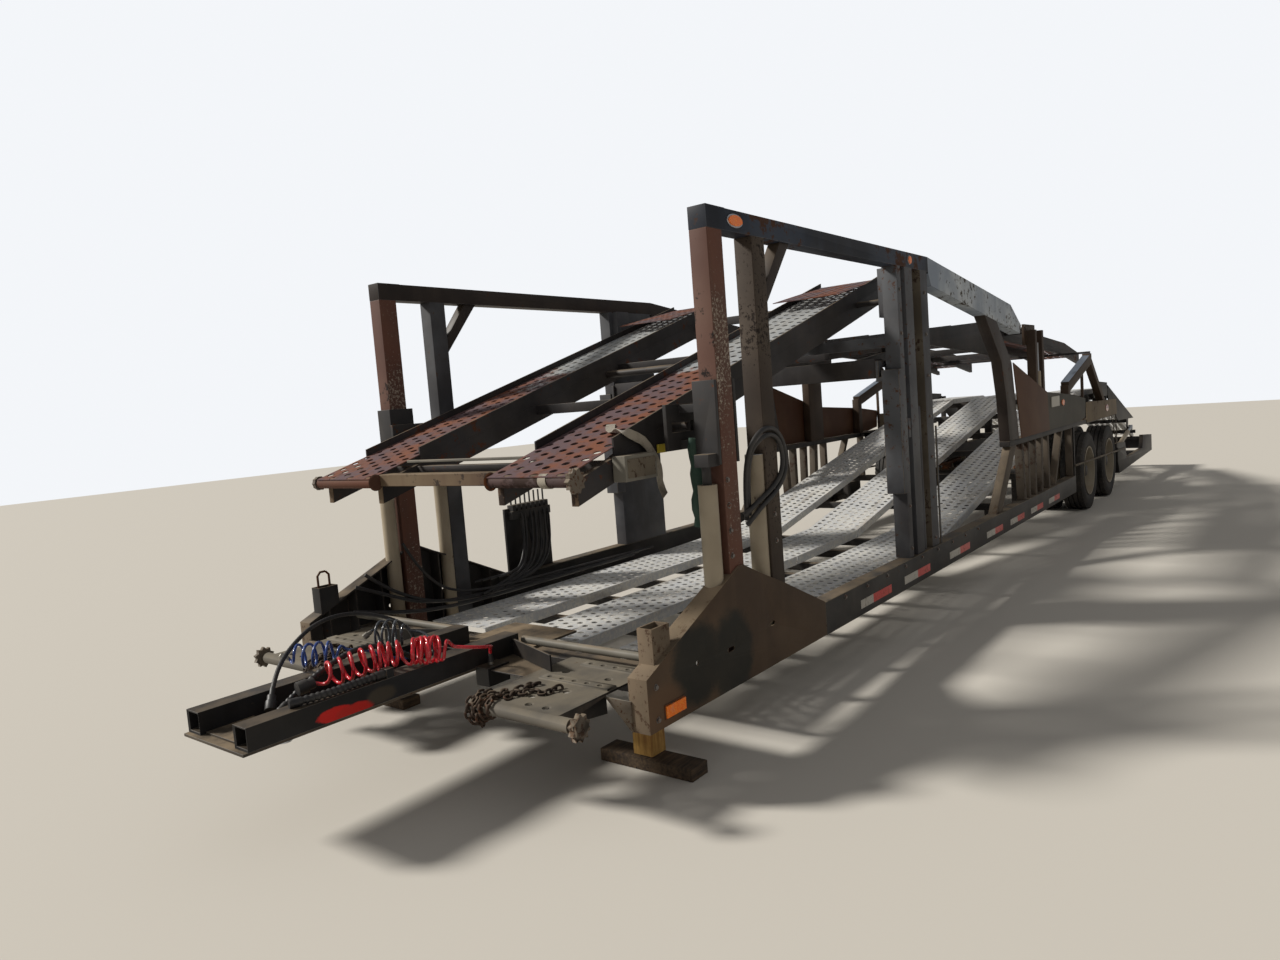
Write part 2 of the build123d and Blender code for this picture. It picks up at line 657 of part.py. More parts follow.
# Rear chassis beams, axles and springs
CHASSIS_Y = (400.0, 500.0)
CHASSIS_Z = (640.0, 800.0)
CHASSIS_X = (-11300.0, -7050.0)
AXLE_HALF = 650.0
AXLE_R = 63.5
LEAF_HALF = 470.0


def chassis_beams():
    pieces = both(block(CHASSIS_X, CHASSIS_Y, CHASSIS_Z))
    for x in (RAMP_CROSS_X[-1], *DECK_CROSS_X):
        surface = ramp_z(x + CROSS_HALF) if x > RAMP_TOP_X else CREST_Z
        top = surface - TRACK_D - CROSS_D
        pieces += both(block((x - CROSS_HALF, x + CROSS_HALF), CHASSIS_Y, (CHASSIS_Z[1] + SHOE_GAP, top - SHOE_GAP)))
    return pieces


def axles():
    pieces = []
    for x in WHEEL_X.values():
        tube = rod((x, -AXLE_HALF, WHEEL_R), (x, AXLE_HALF, WHEEL_R), AXLE_R)
        for side in (1, -1):
            tube += rod((x, side * AXLE_HALF, WHEEL_R), (x, side * hub_end(), WHEEL_R), SPINDLE_R)
        pieces.append(tube)
    return pieces


def springs():
    """Leaf packs over the axles, with their seats and the hangers under the beams."""
    y = (CHASSIS_Y[0] + 10, CHASSIS_Y[1] - 10)
    seat, leaf = WHEEL_R + AXLE_R + 30, 40
    low, high = CHASSIS_Z[0] - 42, CHASSIS_Z[0] - 17
    pieces = []
    for x in WHEEL_X.values():
        outline = [(x - LEAF_HALF, low), (x - LEAF_HALF, high), (x, seat + leaf), (x + LEAF_HALF, high), (x + LEAF_HALF, low), (x, seat)]
        pack = slab(outline, y) + block((x - 60, x + 60), y, (WHEEL_R + 40, seat + 5))
        pieces += both(pack - rod((x, 0, WHEEL_R), (x, AXLE_HALF, WHEEL_R), AXLE_R + SHOE_GAP))
        for end in (x - LEAF_HALF, x + LEAF_HALF):
            hanger = slab([(end - 70, CHASSIS_Z[0]), (end + 70, CHASSIS_Z[0]), (end + 35, high + SHOE_GAP), (end - 35, high + SHOE_GAP)], y)
            pieces += both(hanger)
    return pieces


# Tail frame
TAIL_FRAME = [
    (-10760, 225), (-13700, 290), (-13700, 545), (-12850, 600), (-12750, 400), (-11350, 380), (-11250, 620), (-10760, 640),
]
TAIL_FRAME_Y = (HALF_W - 65.5, HALF_W - SIDE_CLEAR)


def tail_frames():
    pin = rod((TAIL_PIN[0], TAIL_CYL_Y - 28, TAIL_PIN[1]), (TAIL_PIN[0], TAIL_FRAME_Y[0] + 5, TAIL_PIN[1]), 18)
    head = slab([(-10660, 640), (-10760, 640), (-10760, 225), (-10660, 400)], TAIL_FRAME_Y)
    foot = [(-10550, STRUT_FOOT_Z - SHOE_GAP), (-10550, 600), (-10700, 560), (-10760, 560), (-10760, STRUT_FOOT_Z - SHOE_GAP)]
    return both(slab(TAIL_FRAME, TAIL_FRAME_Y) + head + slab(foot, PANEL_Y) + pin)


def tail_crossbeams():
    half = TAIL_FRAME_Y[0] - SHOE_GAP
    y = (-half, half)
    return [
        block((-13700, -13600), y, (330, 490)),
        block((-11300, -11200), y, (290, 390)),
        block((-12500, -12400), y, (300, 390)),
        *both(block((-11300, -11200), CHASSIS_Y, (390 + SHOE_GAP, CHASSIS_Z[0]))),
    ]


def crest_skirts():
    rear = TAIL_HINGE[0] + 58
    return both(slab([(-9900, 1525), (rear, 1480), (rear, 1300), (-9900, 1300)], SKIRT_Y))


# Tail deck: three tracks, side skirts and cross bars on one hinge
def tail_tracks():
    rear, front = TAIL_TRACK_X
    return [track((rear, tail_z(rear)), (front, tail_z(front)), band) for band in TRACK_BANDS]


def tail_skirts():
    hx, hz = TAIL_HINGE
    ex, ez = TAIL_EYE
    piece = slab([(hx + 34, hz + 34), (-12900, 870), (-11600, 905), (hx, 1240), (hx + 34, hz - 34)], SKIRT_Y)
    piece += slab([(ex + 100, 1000), (ex - 100, 980), (ex - 40, ez - 45), (ex + 40, ez - 45)], SKIRT_Y)
    piece += rod((ex, SKIRT_Y[1], ez), (ex, TAIL_CYL_Y - 27, ez), 16)
    piece -= rod((hx, SKIRT_Y[0] - 5, hz), (hx, SKIRT_Y[1] + 5, hz), HINGE_R + PIN_FIT)
    return both(piece)


TAIL_BAR_X = [-11000.0, -11700.0, -12400.0, -13100.0, -13560.0]


def tail_bars():
    pieces = []
    for x in TAIL_BAR_X:
        top = tail_z(x - CROSS_HALF) - TRACK_D
        half = SKIRT_Y[0] - SHOE_GAP
        pieces.append(block((x - CROSS_HALF, x + CROSS_HALF), (-half, half), (top - 50, top)))
    return pieces


def tail_vector():
    dx, dz = TAIL_EYE[0] - TAIL_PIN[0], TAIL_EYE[1] - TAIL_PIN[1]
    run = math.hypot(dx, dz)
    return dx / run, dz / run, run


def along_tail(distance):
    """Point on the tail cylinder's axis, measured from its base pin."""
    ux, uz, _ = tail_vector()
    return (TAIL_PIN[0] + ux * distance, TAIL_CYL_Y, TAIL_PIN[1] + uz * distance)


TAIL_BARREL_L = 900.0
TAIL_BARREL_R = 30.0
TAIL_ROD_R = 18.0


def tail_barrels():
    x, z = TAIL_PIN
    piece = rod(along_tail(40), along_tail(TAIL_BARREL_L), TAIL_BARREL_R)
    piece -= rod(along_tail(60), along_tail(TAIL_BARREL_L + 1), TAIL_ROD_R + 1)
    piece += rod((x, TAIL_CYL_Y - 28, z), (x, TAIL_CYL_Y + 28, z), 45)
    piece -= rod((x, TAIL_CYL_Y - 40, z), (x, TAIL_CYL_Y + 60, z), 18 + PIN_FIT)
    return both(piece)


def tail_rods():
    reach = tail_vector()[2]
    piece = rod(along_tail(420), along_tail(reach), TAIL_ROD_R)
    piece += rod((TAIL_EYE[0], TAIL_CYL_Y - 25, TAIL_EYE[1]), (TAIL_EYE[0], TAIL_CYL_Y + 25, TAIL_EYE[1]), 40)
    return both(piece)


# Upper decks: two tracks each, outer and inner side beams and cross beams
CARRIER_PLATE_Y = (DECK_BAND[1] + 89.0, DECK_BAND[1] + 109.0)
CARRIER_REACH = CARRIER_PLATE_Y[1] + 6.0
MAST_REACH = WEB_Y[0] - 6.0


def deck_tracks(line):
    """Perforated deck plates with edge flanges following a list of (x, z) points."""
    pieces = []
    for side in (1, -1):
        low, high = (DECK_BAND[0], DECK_BAND[1]) if side > 0 else (-DECK_BAND[1], -DECK_BAND[0])
        piece = None
        for rear, front in zip(line, line[1:]):
            plate = perforated_plate(rear, front, (low, high), TRACK_PLATE)
            piece = plate if piece is None else piece + plate
        for y in ((low, low + 12), (high - 12, high)):
            piece += slab(shift_z(line, FLANGE_UP) + list(reversed(shift_z(line, -FLANGE_DOWN))), y)
        pieces.append(piece)
    return pieces


def deck_beams(line, depths=None):
    """Inner and outer side beams under the tracks' flanges, each a solid of its own."""
    top = shift_z(line, -FLANGE_DOWN)
    low = shift_z(top, -DECK_BEAM_D) if depths is None else [(x, z - d) for (x, z), d in zip(top, depths)]
    pieces = []
    for y in ((DECK_BAND[1] - BEAM_W, DECK_BAND[1]), (DECK_BAND[0], DECK_BAND[0] + BEAM_W)):
        pieces += both(slab(top + list(reversed(low)), y))
    return pieces


def cross_bars(height, stations, full):
    """Cross beams between the side beams; the end ones also run under the tracks."""
    pieces = []
    for x in stations:
        top = height(x) - FLANGE_DOWN - 15
        spans = [(-DECK_BAND[0] + SHOE_GAP, DECK_BAND[0] - SHOE_GAP)]
        if x in full:
            reach = (DECK_BAND[0] + BEAM_W + SHOE_GAP, DECK_BAND[1] - BEAM_W - SHOE_GAP)
            spans += [reach, (-reach[1], -reach[0])]
        pieces += [block((x - 30, x + 30), y, (top - 60, top)) for y in spans]
    return pieces


def side_pins(pins):
    """Pins that stand out of the outer side beams at (point, reach) pairs."""
    pieces = []
    for (px, pz), reach in pins:
        pieces += both(rod((px, DECK_BAND[1] + SHOE_GAP, pz), (px, reach, pz), DECK_PIN_R))
    return pieces


def front_deck_line(front_x):
    return [(FDECK_REAR_X, fdeck_z(FDECK_REAR_X)), (front_x, fdeck_z(front_x))]


def front_deck_tracks():
    return deck_tracks(front_deck_line(-235))


NOSE_TUBE_R = 24.0
FLAP_X = (-3580.0, -2800.0)
FLAP_RISE = 46.0
FLAP_SINK = 4.0


def front_deck_noses():
    nose = strip([(-235, fdeck_z(-235)), FDECK_FRONT], TRACK_PLATE, DECK_BAND)
    x = FDECK_FRONT[0] - NOSE_TUBE_R
    z = fdeck_z(x) - TRACK_PLATE - NOSE_TUBE_R + 3
    tube = rod((x, DECK_BAND[0], z), (x, DECK_BAND[1] + 12, z), NOSE_TUBE_R)
    cheek = slab([(-235, fdeck_z(-235)), (-235, fdeck_z(-235) - FLANGE_DOWN), (x, fdeck_z(x) - FLANGE_DOWN), (x, z)], (DECK_BAND[1] - 10, DECK_BAND[1]))
    return both(nose + tube + cheek + star_wheel(x, DECK_BAND[1] + 12, z))


def front_deck_flaps():
    """Raised plates over the rear ends of the front deck's tracks, closed at the sides."""
    rear, front = FLAP_X
    low = FLANGE_UP - FLAP_SINK
    high = FLANGE_UP + FLAP_RISE
    foot = [(front, fdeck_z(front) + low), (rear, fdeck_z(rear) + low)]
    plate = [foot[0], (front, foot[0][1] + PLATE), (rear, fdeck_z(rear) + high), (rear, fdeck_z(rear) + high - PLATE)]
    cheek = [foot[0], (front, foot[0][1] + PLATE / 2), (rear, fdeck_z(rear) + high - PLATE / 2), foot[1]]
    flap = slab(plate, DECK_BAND)
    for y in ((DECK_BAND[0], DECK_BAND[0] + 12), (DECK_BAND[1] - 12, DECK_BAND[1])):
        flap += slab(cheek, y)
    return both(flap)


FDECK_CROSS_X = [-330.0, -1300.0, -2150.0, -3300.0]


def front_deck_frame():
    pieces = deck_beams(front_deck_line(-62))
    pieces += cross_bars(fdeck_z, FDECK_CROSS_X, (FDECK_CROSS_X[0], FDECK_CROSS_X[-1]))
    inner = DECK_BAND[0] - SHOE_GAP
    x = FDECK_CROSS_X[2] + 150
    pieces.append(rod((x, -inner, fdeck_z(x) - 90), (x, inner, fdeck_z(x) - 90), NOSE_TUBE_R))
    return pieces + side_pins([(FPIN, CARRIER_REACH), (FDECK_PIVOT, POST_Y[0] - 6)])


def front_deck_hangers():
    """Plates on the channel posts that hold the front deck's rear pins."""
    x, z = FDECK_PIVOT
    plate = block((x - 80, x + 75), (POST_Y[0] - 50, POST_Y[0]), (z - 110, RAIL_LOW_Z))
    plate -= rod((x, POST_Y[0] - 60, z), (x, POST_Y[0] + 1, z), DECK_PIN_R + PIN_FIT)
    return both(plate)


def front_carriers():
    rear, front = POST_A_X
    low, high = FCARRIER_Z
    inner = POST_Y[0] - MOVE_GAP
    piece = block((rear - MOVE_GAP - 20, front + MOVE_GAP + 20), (inner - 20, inner), (low, high))
    piece += block((rear - MOVE_GAP - 20, rear - MOVE_GAP), (inner - 20, POST_Y[1]), (low, high))
    piece += block((front + MOVE_GAP, front + MOVE_GAP + 20), (inner - 20, POST_Y[1]), (low, high))
    near, far = CARRIER_PLATE_Y
    slot = block(FSLOT_X, (near - 6, far + 14), (FPIN[1] - DECK_PIN_R - 5, FPIN[1] + DECK_PIN_R + 5))
    plate = block((FSLOT_X[0] - 40, FSLOT_X[1] + 40), (near, far), (FPIN[1] - 110, FPIN[1] + 110)) - slot
    for height in (FPIN[1] - 105, FPIN[1] + 65):
        plate += block((rear, front), (far, inner - 20), (height, height + 40))
    lug_y = (CYL_Y - BARREL_R + 6, CYL_Y + BARREL_R - 6)
    lug = block((front + MOVE_GAP, FCYL_X + BARREL_R - 10), lug_y, (FCYL_EYE_Z, FCYL_EYE_Z + 60))
    return both(piece + plate + lug)


def front_rods():
    return both(rod((FCYL_X, CYL_Y, 480), (FCYL_X, CYL_Y, FCYL_EYE_Z), ROD_R))


def front_barrels():
    piece = pipe((FCYL_X, CYL_Y, FCYL_FOOT_Z), (FCYL_X, CYL_Y, FCYL_TOP_Z), BARREL_R, ROD_R + 1)
    piece += rod((FCYL_X, CYL_Y, POST_FOOT_Z), (FCYL_X, CYL_Y, FCYL_FOOT_Z), BARREL_R)
    return both(piece)


def spare_cylinders():
    piece = rod((BCYL_X, CYL_Y, POST_FOOT_Z), (BCYL_X, CYL_Y, BCYL_TOP_Z), BARREL_R)
    piece = piece - block(POST_B_X, POST_Y, (0, 2000))
    return both(piece)


MDECK_DEPTHS = [(-6540.0, 350.0), (-6460.0, 350.0), (-6200.0, 240.0), (-4480.0, 42.0), (MDECK_FRONT[0], 42.0)]


def mid_deck_line():
    return [(MDECK_REAR_X, mdeck_z(MDECK_REAR_X)), MDECK_FRONT]


def mid_deck_tracks():
    return deck_tracks(mid_deck_line())


MDECK_CROSS_X = [-3660.0, -4600.0, -5500.0, -6400.0]
HEAD_X = (-3030.0, -2905.0)
HEAD_Z = (1725.0, 1855.0)


def mid_deck_frame():
    """Tapered outer beams, arms down to the head beam in front, and cross beams."""
    line = [(x, mdeck_z(x)) for x, _ in MDECK_DEPTHS]
    outer = deck_beams(line, [depth for _, depth in MDECK_DEPTHS])[:2]
    inner = deck_beams(mid_deck_line(), [60, 60])[2:]
    drop = FLANGE_DOWN + MDECK_DEPTHS[-1][1] + SHOE_GAP
    top = [(x, mdeck_z(x) - drop) for x in (MARM_REAR_X, MDECK_FRONT[0])]
    end = HEAD_X[0] - SHOE_GAP
    arm = [(MARM_REAR_X, top[0][1] - 40), *top, (end, HEAD_Z[1]), (end, HEAD_Z[0] + 15), (MDECK_FRONT[0], top[1][1] - MARM_D)]
    pieces = outer + inner + both(slab(arm, (DECK_BAND[1] - BEAM_W, DECK_BAND[1])))
    half = CARRIER_NEAR_Y - MOVE_GAP
    head = block(HEAD_X, (-half, half), HEAD_Z)
    for side in (1, -1):
        head += rod((MPIN[0], side * half, MPIN[1]), (MPIN[0], side * (CARRIER_NEAR_Y + 28), MPIN[1]), DECK_PIN_R)
    pieces.append(head)
    pieces += cross_bars(lambda x: mdeck_z(x) + 10, MDECK_CROSS_X, ())
    return pieces + side_pins([(MDECK_PIVOT, MAST_REACH)])


MARM_D = 90.0
MARM_REAR_X = -3750.0
SLIDE_GAP = 5.0
CHEEK_T = 5.0
CARRIER_NEAR_Y = POST_Y[0] - 48.0


def mid_carriers():
    """Sleeves that slide on the front rails of the channel posts and hold the head beam's pins."""
    rear, front = MCARRIER_X
    inner = (POST_Y[0] - SLIDE_GAP - CHEEK_T, POST_Y[0] - SLIDE_GAP)
    outer = (POST_Y[1] + SLIDE_GAP, POST_Y[1] + SLIDE_GAP + CHEEK_T)
    piece = block((rear, front), (inner[0], outer[1]), MCARRIER_Z)
    for y in (inner, outer):
        piece += block((rear - 35, front), y, MCARRIER_Z)
    x, z = MPIN
    high = z + DECK_PIN_R + 5
    plate = block((MSLOT_X[0] - 25, front), (CARRIER_NEAR_Y, CARRIER_NEAR_Y + 20), (z - 70, z + 70))
    plate -= block(MSLOT_X, (CARRIER_NEAR_Y - 5, CARRIER_NEAR_Y + 30), (z - DECK_PIN_R - 5, high))
    web = block((rear - 20, front), (CARRIER_NEAR_Y + 20, inner[0]), (z - 70, z - 40))
    shoe = block((POST_D_X[1], rear), (inner[1] + 20, inner[1] + 60), (MCARRIER_Z[0], MCARRIER_Z[0] + 60))
    shoe = shoe & block((POST_D_X[1] + SHOE_GAP, rear), POST_Y, MCARRIER_Z)
    return both(piece + plate + web + shoe)


def rear_deck_line():
    return [RDECK_REAR, (RDECK_KNEE_X, rdeck_z(RDECK_KNEE_X)), RDECK_FRONT]


def rear_deck_tracks():
    return deck_tracks(rear_deck_line())


RDECK_BEAM_D = 60.0
RDECK_CROSS_X = [-6760.0, -7600.0, -8500.0, -9200.0]


def rear_deck_frame():
    pieces = deck_beams(rear_deck_line(), [50, RDECK_BEAM_D, RDECK_BEAM_D])
    pieces += cross_bars(rdeck_z, RDECK_CROSS_X, (RDECK_CROSS_X[0],))
    x = AFRAME_TIP[0]
    half = HALF_W - 25.5
    top = rdeck_z(x + 30) - FLANGE_DOWN - RDECK_BEAM_D - SHOE_GAP
    pieces.append(block((x - 30, x + 30), (-half, half), (REST_Z + SHOE_GAP, top)))
    return pieces + side_pins([(RDECK_PIVOT, MAST_REACH)])


# Wheels: twin tyres on one hub and rim pair
TYRE_HALF = TYRE_W / 2
TYRE_PROFILE = [
    (BEAD_R, -TYRE_HALF + 20), (BEAD_R + 100, -TYRE_HALF), (WHEEL_R - 18, -TYRE_HALF + 11), (WHEEL_R, -TYRE_HALF + 32),
    (WHEEL_R, TYRE_HALF - 32), (WHEEL_R - 18, TYRE_HALF - 11), (BEAD_R + 100, TYRE_HALF), (BEAD_R, TYRE_HALF - 20),
]
HUB_GAP = 1.0


def wheel_turn(points, x, side):
    """Ring turned about the wheel's axle from (radius, y) points."""
    face = make_face(Polyline(*[(r, y * side, 0) for r, y in points], close=True))
    return Pos(x, 0, WHEEL_R) * revolve(face, Axis.Y)


def tyre_centres():
    outer = TYRE_OUT_Y - TYRE_W / 2
    return outer, outer - TYRE_W - TYRE_GAP


def tyres(x, side):
    return [wheel_turn([(r, y + centre) for r, y in TYRE_PROFILE], x, side) for centre in tyre_centres()]


def hub_end():
    """How far out the spindle's seat in the hub reaches."""
    return tyre_centres()[0] - 18.5


def wheels(x, side):
    outer, inner = tyre_centres()
    mid = (outer + inner) / 2
    rim = BEAD_R - SHOE_GAP
    well = rim - 17.7
    profile = [
        (SPINDLE_R + PIN_FIT, inner - 118), (205, inner - 118), (205, mid - 12), (well, mid - 12),
        (well, inner - 118), (rim, inner - 118), (rim, outer + 118), (well, outer + 118),
        (well, mid + 12), (110, mid + 12), (100, outer + 40), (60, outer + 90), (0, outer + 90),
        (0, hub_end() + HUB_GAP), (SPINDLE_R + PIN_FIT, hub_end() + HUB_GAP),
    ]
    return [wheel_turn(profile, x, side)]


# Timber that props the front corners
PLANK_X = (-400.0, -275.0)
PLANK_Y = (760.0, 1290.0)
PLANK_T = 60.0
BLOCK_X = (-400.0, -295.0)
BLOCK_Y = (950.0, 1060.0)


def timber_planks():
    return both(block(PLANK_X, PLANK_Y, (0, PLANK_T)))


def timber_blocks():
    return both(block(BLOCK_X, BLOCK_Y, (PLANK_T + SHOE_GAP, FRONT_BEAM_Z[0])))


# Valve bank on the right sill: a dark panel, a row of spools and their levers
BANK_X = (-2120.0, -1660.0)
BANK_Y = (-HALF_W + 25.5, -HALF_W + 95.5)
BANK_TOP_Z = 980.0
SPOOLS = 8
SPOOL_PITCH = 48.0


def spool_x(i):
    return BANK_X[0] + 62 + i * SPOOL_PITCH


def valve_bank():
    panel = block(BANK_X, (BANK_Y[0], BANK_Y[1] - 50), (SILL_TOP_Z, BANK_TOP_Z))
    panel += block((BANK_X[0] + 30, BANK_X[1] - 30), (BANK_Y[0], BANK_Y[1]), (900, BANK_TOP_Z - 20))
    for i in range(SPOOLS):
        x = spool_x(i)
        panel += block((x - 17, x + 17), (BANK_Y[0] + 5, BANK_Y[1] - 5), (BANK_TOP_Z - 20, BANK_TOP_Z + 25))
        panel += block((x - 5, x + 5), (BANK_Y[0] + 25, BANK_Y[0] + 35), (BANK_TOP_Z + 20, BANK_TOP_Z + 110))
    return [panel]


HOSE_R = 7.0
BANK_HOSE_Z = 535.0


def hose_tube(points, radius):
    """Tube along straight runs and the largest tangent arcs that they allow."""
    vectors = [Vector(*p) for p in points]
    radii = []
    for a, b, c in zip(vectors, vectors[1:], vectors[2:]):
        turn = math.radians((b - a).get_angle(c - b))
        radii.append(0.45 * min((b - a).length, (c - b).length) / math.tan(turn / 2))
    path = FilletPolyline(*points, radius=radii) if radii else Line(*points)
    tube = sweep(Plane(origin=path @ 0, z_dir=path % 0) * Circle(radius), path=path)
    expected = math.pi * radius ** 2 * path.length
    print(f"tube r {radius} length {path.length:.0f} radii {[round(r) for r in radii]} volume ratio {tube.volume / expected:.4f}")
    return tube


def bank_hoses():
    """Hoses from the spools' undersides down to the sill and forward along it."""
    pieces = []
    for i in range(0, SPOOLS, 2):
        x = spool_x(i)
        y = BANK_Y[1] + 12 + 18 * (i % 4) / 2
        run_y = -HALF_W + 125 + 17 * i / 2
        end_x = -1250.0 - 30 * i
        points = [(x, y - 26, 900 - SHOE_GAP), (x, y - 26, 800), (x + 18, y + 12, 670), (x + 90, run_y, 565 + 2 * i)]
        points += [(x + 240, run_y + 4, BANK_HOSE_Z + i), (end_x, run_y - 6, BANK_HOSE_Z - 4)]
        pieces.append(hose_tube(points, HOSE_R))
    return pieces


# Air lines and cables that lie on the tongue
RED_COIL = [(735, 55, 590), (520, 85, 616), (340, 190, 622), (180, 330, 612)]
RED_LEAD = [(180, 330, 612), (100, 400, 607), (5, 385, 590), (-60, 290, 560), (-60, 290, 488.3)]
BLUE_COIL = [(640, -320, 618), (555, -205, 623), (440, -125, 620)]
BLUE_LEAD = [(440, -125, 620), (371, -77, 618.2), (270, -92, 560), (140, -100, 500), (28.3, -100, 500)]
BLACK_COIL = [(225, -265, 624), (100, -105, 624)]
BLACK_LEAD = [(100, -105, 624), (62.5, -57, 624), (60, 20, 600), (60, 20, 481.3)]
LOOP_CABLE = [(-60, -290, 488.3), (-60, -290, 575), (10, -380, 665), (170, -490, 725), (400, -445, 735), (640, -300, 702), (790, -165, 630), (850, -95, 545)]
FRONT_HOSE = [(28.3, -40, 505), (120, -40, 505), (225, -30, 575), (370, -45, 650), (532, -25, 645), (690, -25, 590), (800, -27, 530), (865, -17, 494)]
RAIL_HOSE = [(RAIL_CLIP_X[1] + SHOE_GAP, RAIL_HOSE_Y, 579), (620, RAIL_HOSE_Y, 579), (745, 223, 579.5), (850, 213, 580), (930, 190, 579)]
COIL_R = 55.0
LEAD_R = 6.5
CABLE_R = 13.0
FRONT_HOSE_R = 16.0
RAIL_HOSE_R = 18.0


def plug(end, before, radius, length):
    """Round connector in line with a cord's last run, a little stepped along its length."""
    axis = (Vector(*end) - Vector(*before)).normalized()
    start = Vector(*end) + axis * SHOE_GAP
    mid = start + axis * (length * 0.4)
    return rod(tuple(start), tuple(mid), radius * 0.8) + rod(tuple(mid), tuple(start + axis * length), radius)


def loop_plug():
    return [plug(LOOP_CABLE[-1], LOOP_CABLE[-2], 24, 70)]


def red_coupling():
    return [plug(RED_COIL[0], RED_COIL[1], 30, 75)]


LAMP_Z = (330.0, 430.0)
LAMP_T = 12.0


def side_lamps():
    """Oblong gusset lamps, and an oval and a round lamp on each top rail."""
    lamps = both(block((-250, -108), (HALF_W, HALF_W + LAMP_T), LAMP_Z))
    rail_face = POST_Y[1]
    oval = block((-985, -915), (rail_face, rail_face + LAMP_T), (2480, 2530))
    for x in (-985, -915):
        oval += rod((x, rail_face, 2505), (x, rail_face + LAMP_T, 2505), 25)
    lamps += both(oval)
    lamps += both(rod((-3200, rail_face, 2505), (-3200, rail_face + LAMP_T, 2505), 30))
    return lamps


# Each node's makers, and whether its pieces are welded into one
PARTS = {
    "tongue": ((tongue, front_beam, tongue_glands, cross_pipes), True),
    "kingpin": ((kingpin,), False),
    "aprons": ((aprons,), False),
    "gussets": ((gussets, stub_posts), True),
    "sills": ((sills,), False),
    "front_posts": ((front_posts,), False),
    "mid_posts": ((channel_posts, light_strips, post_beam, front_deck_hangers), True),
    "top_rails": ((top_rails,), False),
    "rail_braces": ((knee_braces, rear_braces), False),
    "side_beams": ((side_beams,), False),
    "side_struts": ((side_struts, tail_struts), False),
    "body_sides": ((side_plates, body_panels), True),
    "fender_panels": ((fender_panels,), False),
    "masts": ((masts, mast_cylinders), False),
    "rear_arms": ((rear_arms,), False),
    "flat_tracks": ((flat_tracks, landing_plates), False),
    "ramp_tracks": ((ramp_tracks, crest_tracks), False),
    "crossmembers": ((crossmembers, ramp_crossmembers, deck_crossmembers, hinge_lugs), False),
    "chassis_beams": ((chassis_beams,), False),
    "axles": ((axles,), False),
    "springs": ((springs,), False),
    "tail_frame": ((tail_frames, tail_crossbeams), False),
    "crest_skirts": ((crest_skirts,), False),
    "tail_tracks": ((tail_tracks,), False),
    "tail_deck_frame": ((tail_skirts, tail_bars), False),
    "tail_barrels": ((tail_barrels,), False),
    "tail_rods": ((tail_rods,), False),
    "front_deck_tracks": ((front_deck_tracks, front_deck_noses, front_deck_flaps), True),
    "front_deck_frame": ((front_deck_frame,), False),
    "front_carriers": ((front_carriers, front_rods), True),
    "front_cylinders": ((front_barrels, spare_cylinders), False),
    "mid_deck_tracks": ((mid_deck_tracks,), False),
    "mid_deck_frame": ((mid_deck_frame,), False),
    "mid_carriers": ((mid_carriers,), False),
    "rear_deck_tracks": ((rear_deck_tracks,), False),
    "rear_deck_frame": ((rear_deck_frame,), False),
    "timber_props": ((timber_planks, timber_blocks), False),
    "valve_bank": ((valve_bank,), False),
    "side_lamps": ((side_lamps,), False),
    "bank_hoses": ((bank_hoses,), False),
    "loop_plug": ((loop_plug,), True),
    "red_coupling": ((red_coupling,), True),
}

# Each cord node's route and tube radius
CORDS = {
    "red_coil": (RED_COIL, COIL_R),
    "red_lead": (RED_LEAD, LEAD_R),
    "blue_coil": (BLUE_COIL, COIL_R),
    "blue_lead": (BLUE_LEAD, LEAD_R),
    "black_coil": (BLACK_COIL, COIL_R),
    "black_lead": (BLACK_LEAD, LEAD_R),
    "loop_cable": (LOOP_CABLE, CABLE_R),
    "front_hose": (FRONT_HOSE, FRONT_HOSE_R),
    "rail_hose": (RAIL_HOSE, RAIL_HOSE_R),
}


def write_node(name, pieces, welded=False):
    """Save one node as a STEP file in the part's own frame."""
    solids = [solid for piece in pieces for solid in piece.solids()]
    if welded:
        solids = list(solids[0].fuse(*solids[1:]).solids())
    export_step(Compound(children=solids).moved(Location((SHIFT_X, 0, 0))), f"parts/{name}.step")


os.makedirs("parts", exist_ok=True)
for name, (makers, welded) in PARTS.items():
    write_node(name, [piece for maker in makers for piece in maker()], welded)
for name, (points, radius) in CORDS.items():
    write_node(name, [hose_tube(points, radius)])
for axle, station in WHEEL_X.items():
    for label, side in (("left", 1), ("right", -1)):
        write_node(f"tyres_{axle}_{label}", tyres(station, side))
        write_node(f"rims_{axle}_{label}", wheels(station, side))
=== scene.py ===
"""Visual model of an open car-carrier semi-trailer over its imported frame.

Metres; X runs forward, Y to the trailer's left and Z up from the ground.
"""

import json
import logging
import math
from dataclasses import dataclass
from enum import Enum
from typing import Callable, Iterable, Sequence

import bmesh
import bpy
from mathutils import Matrix, Vector


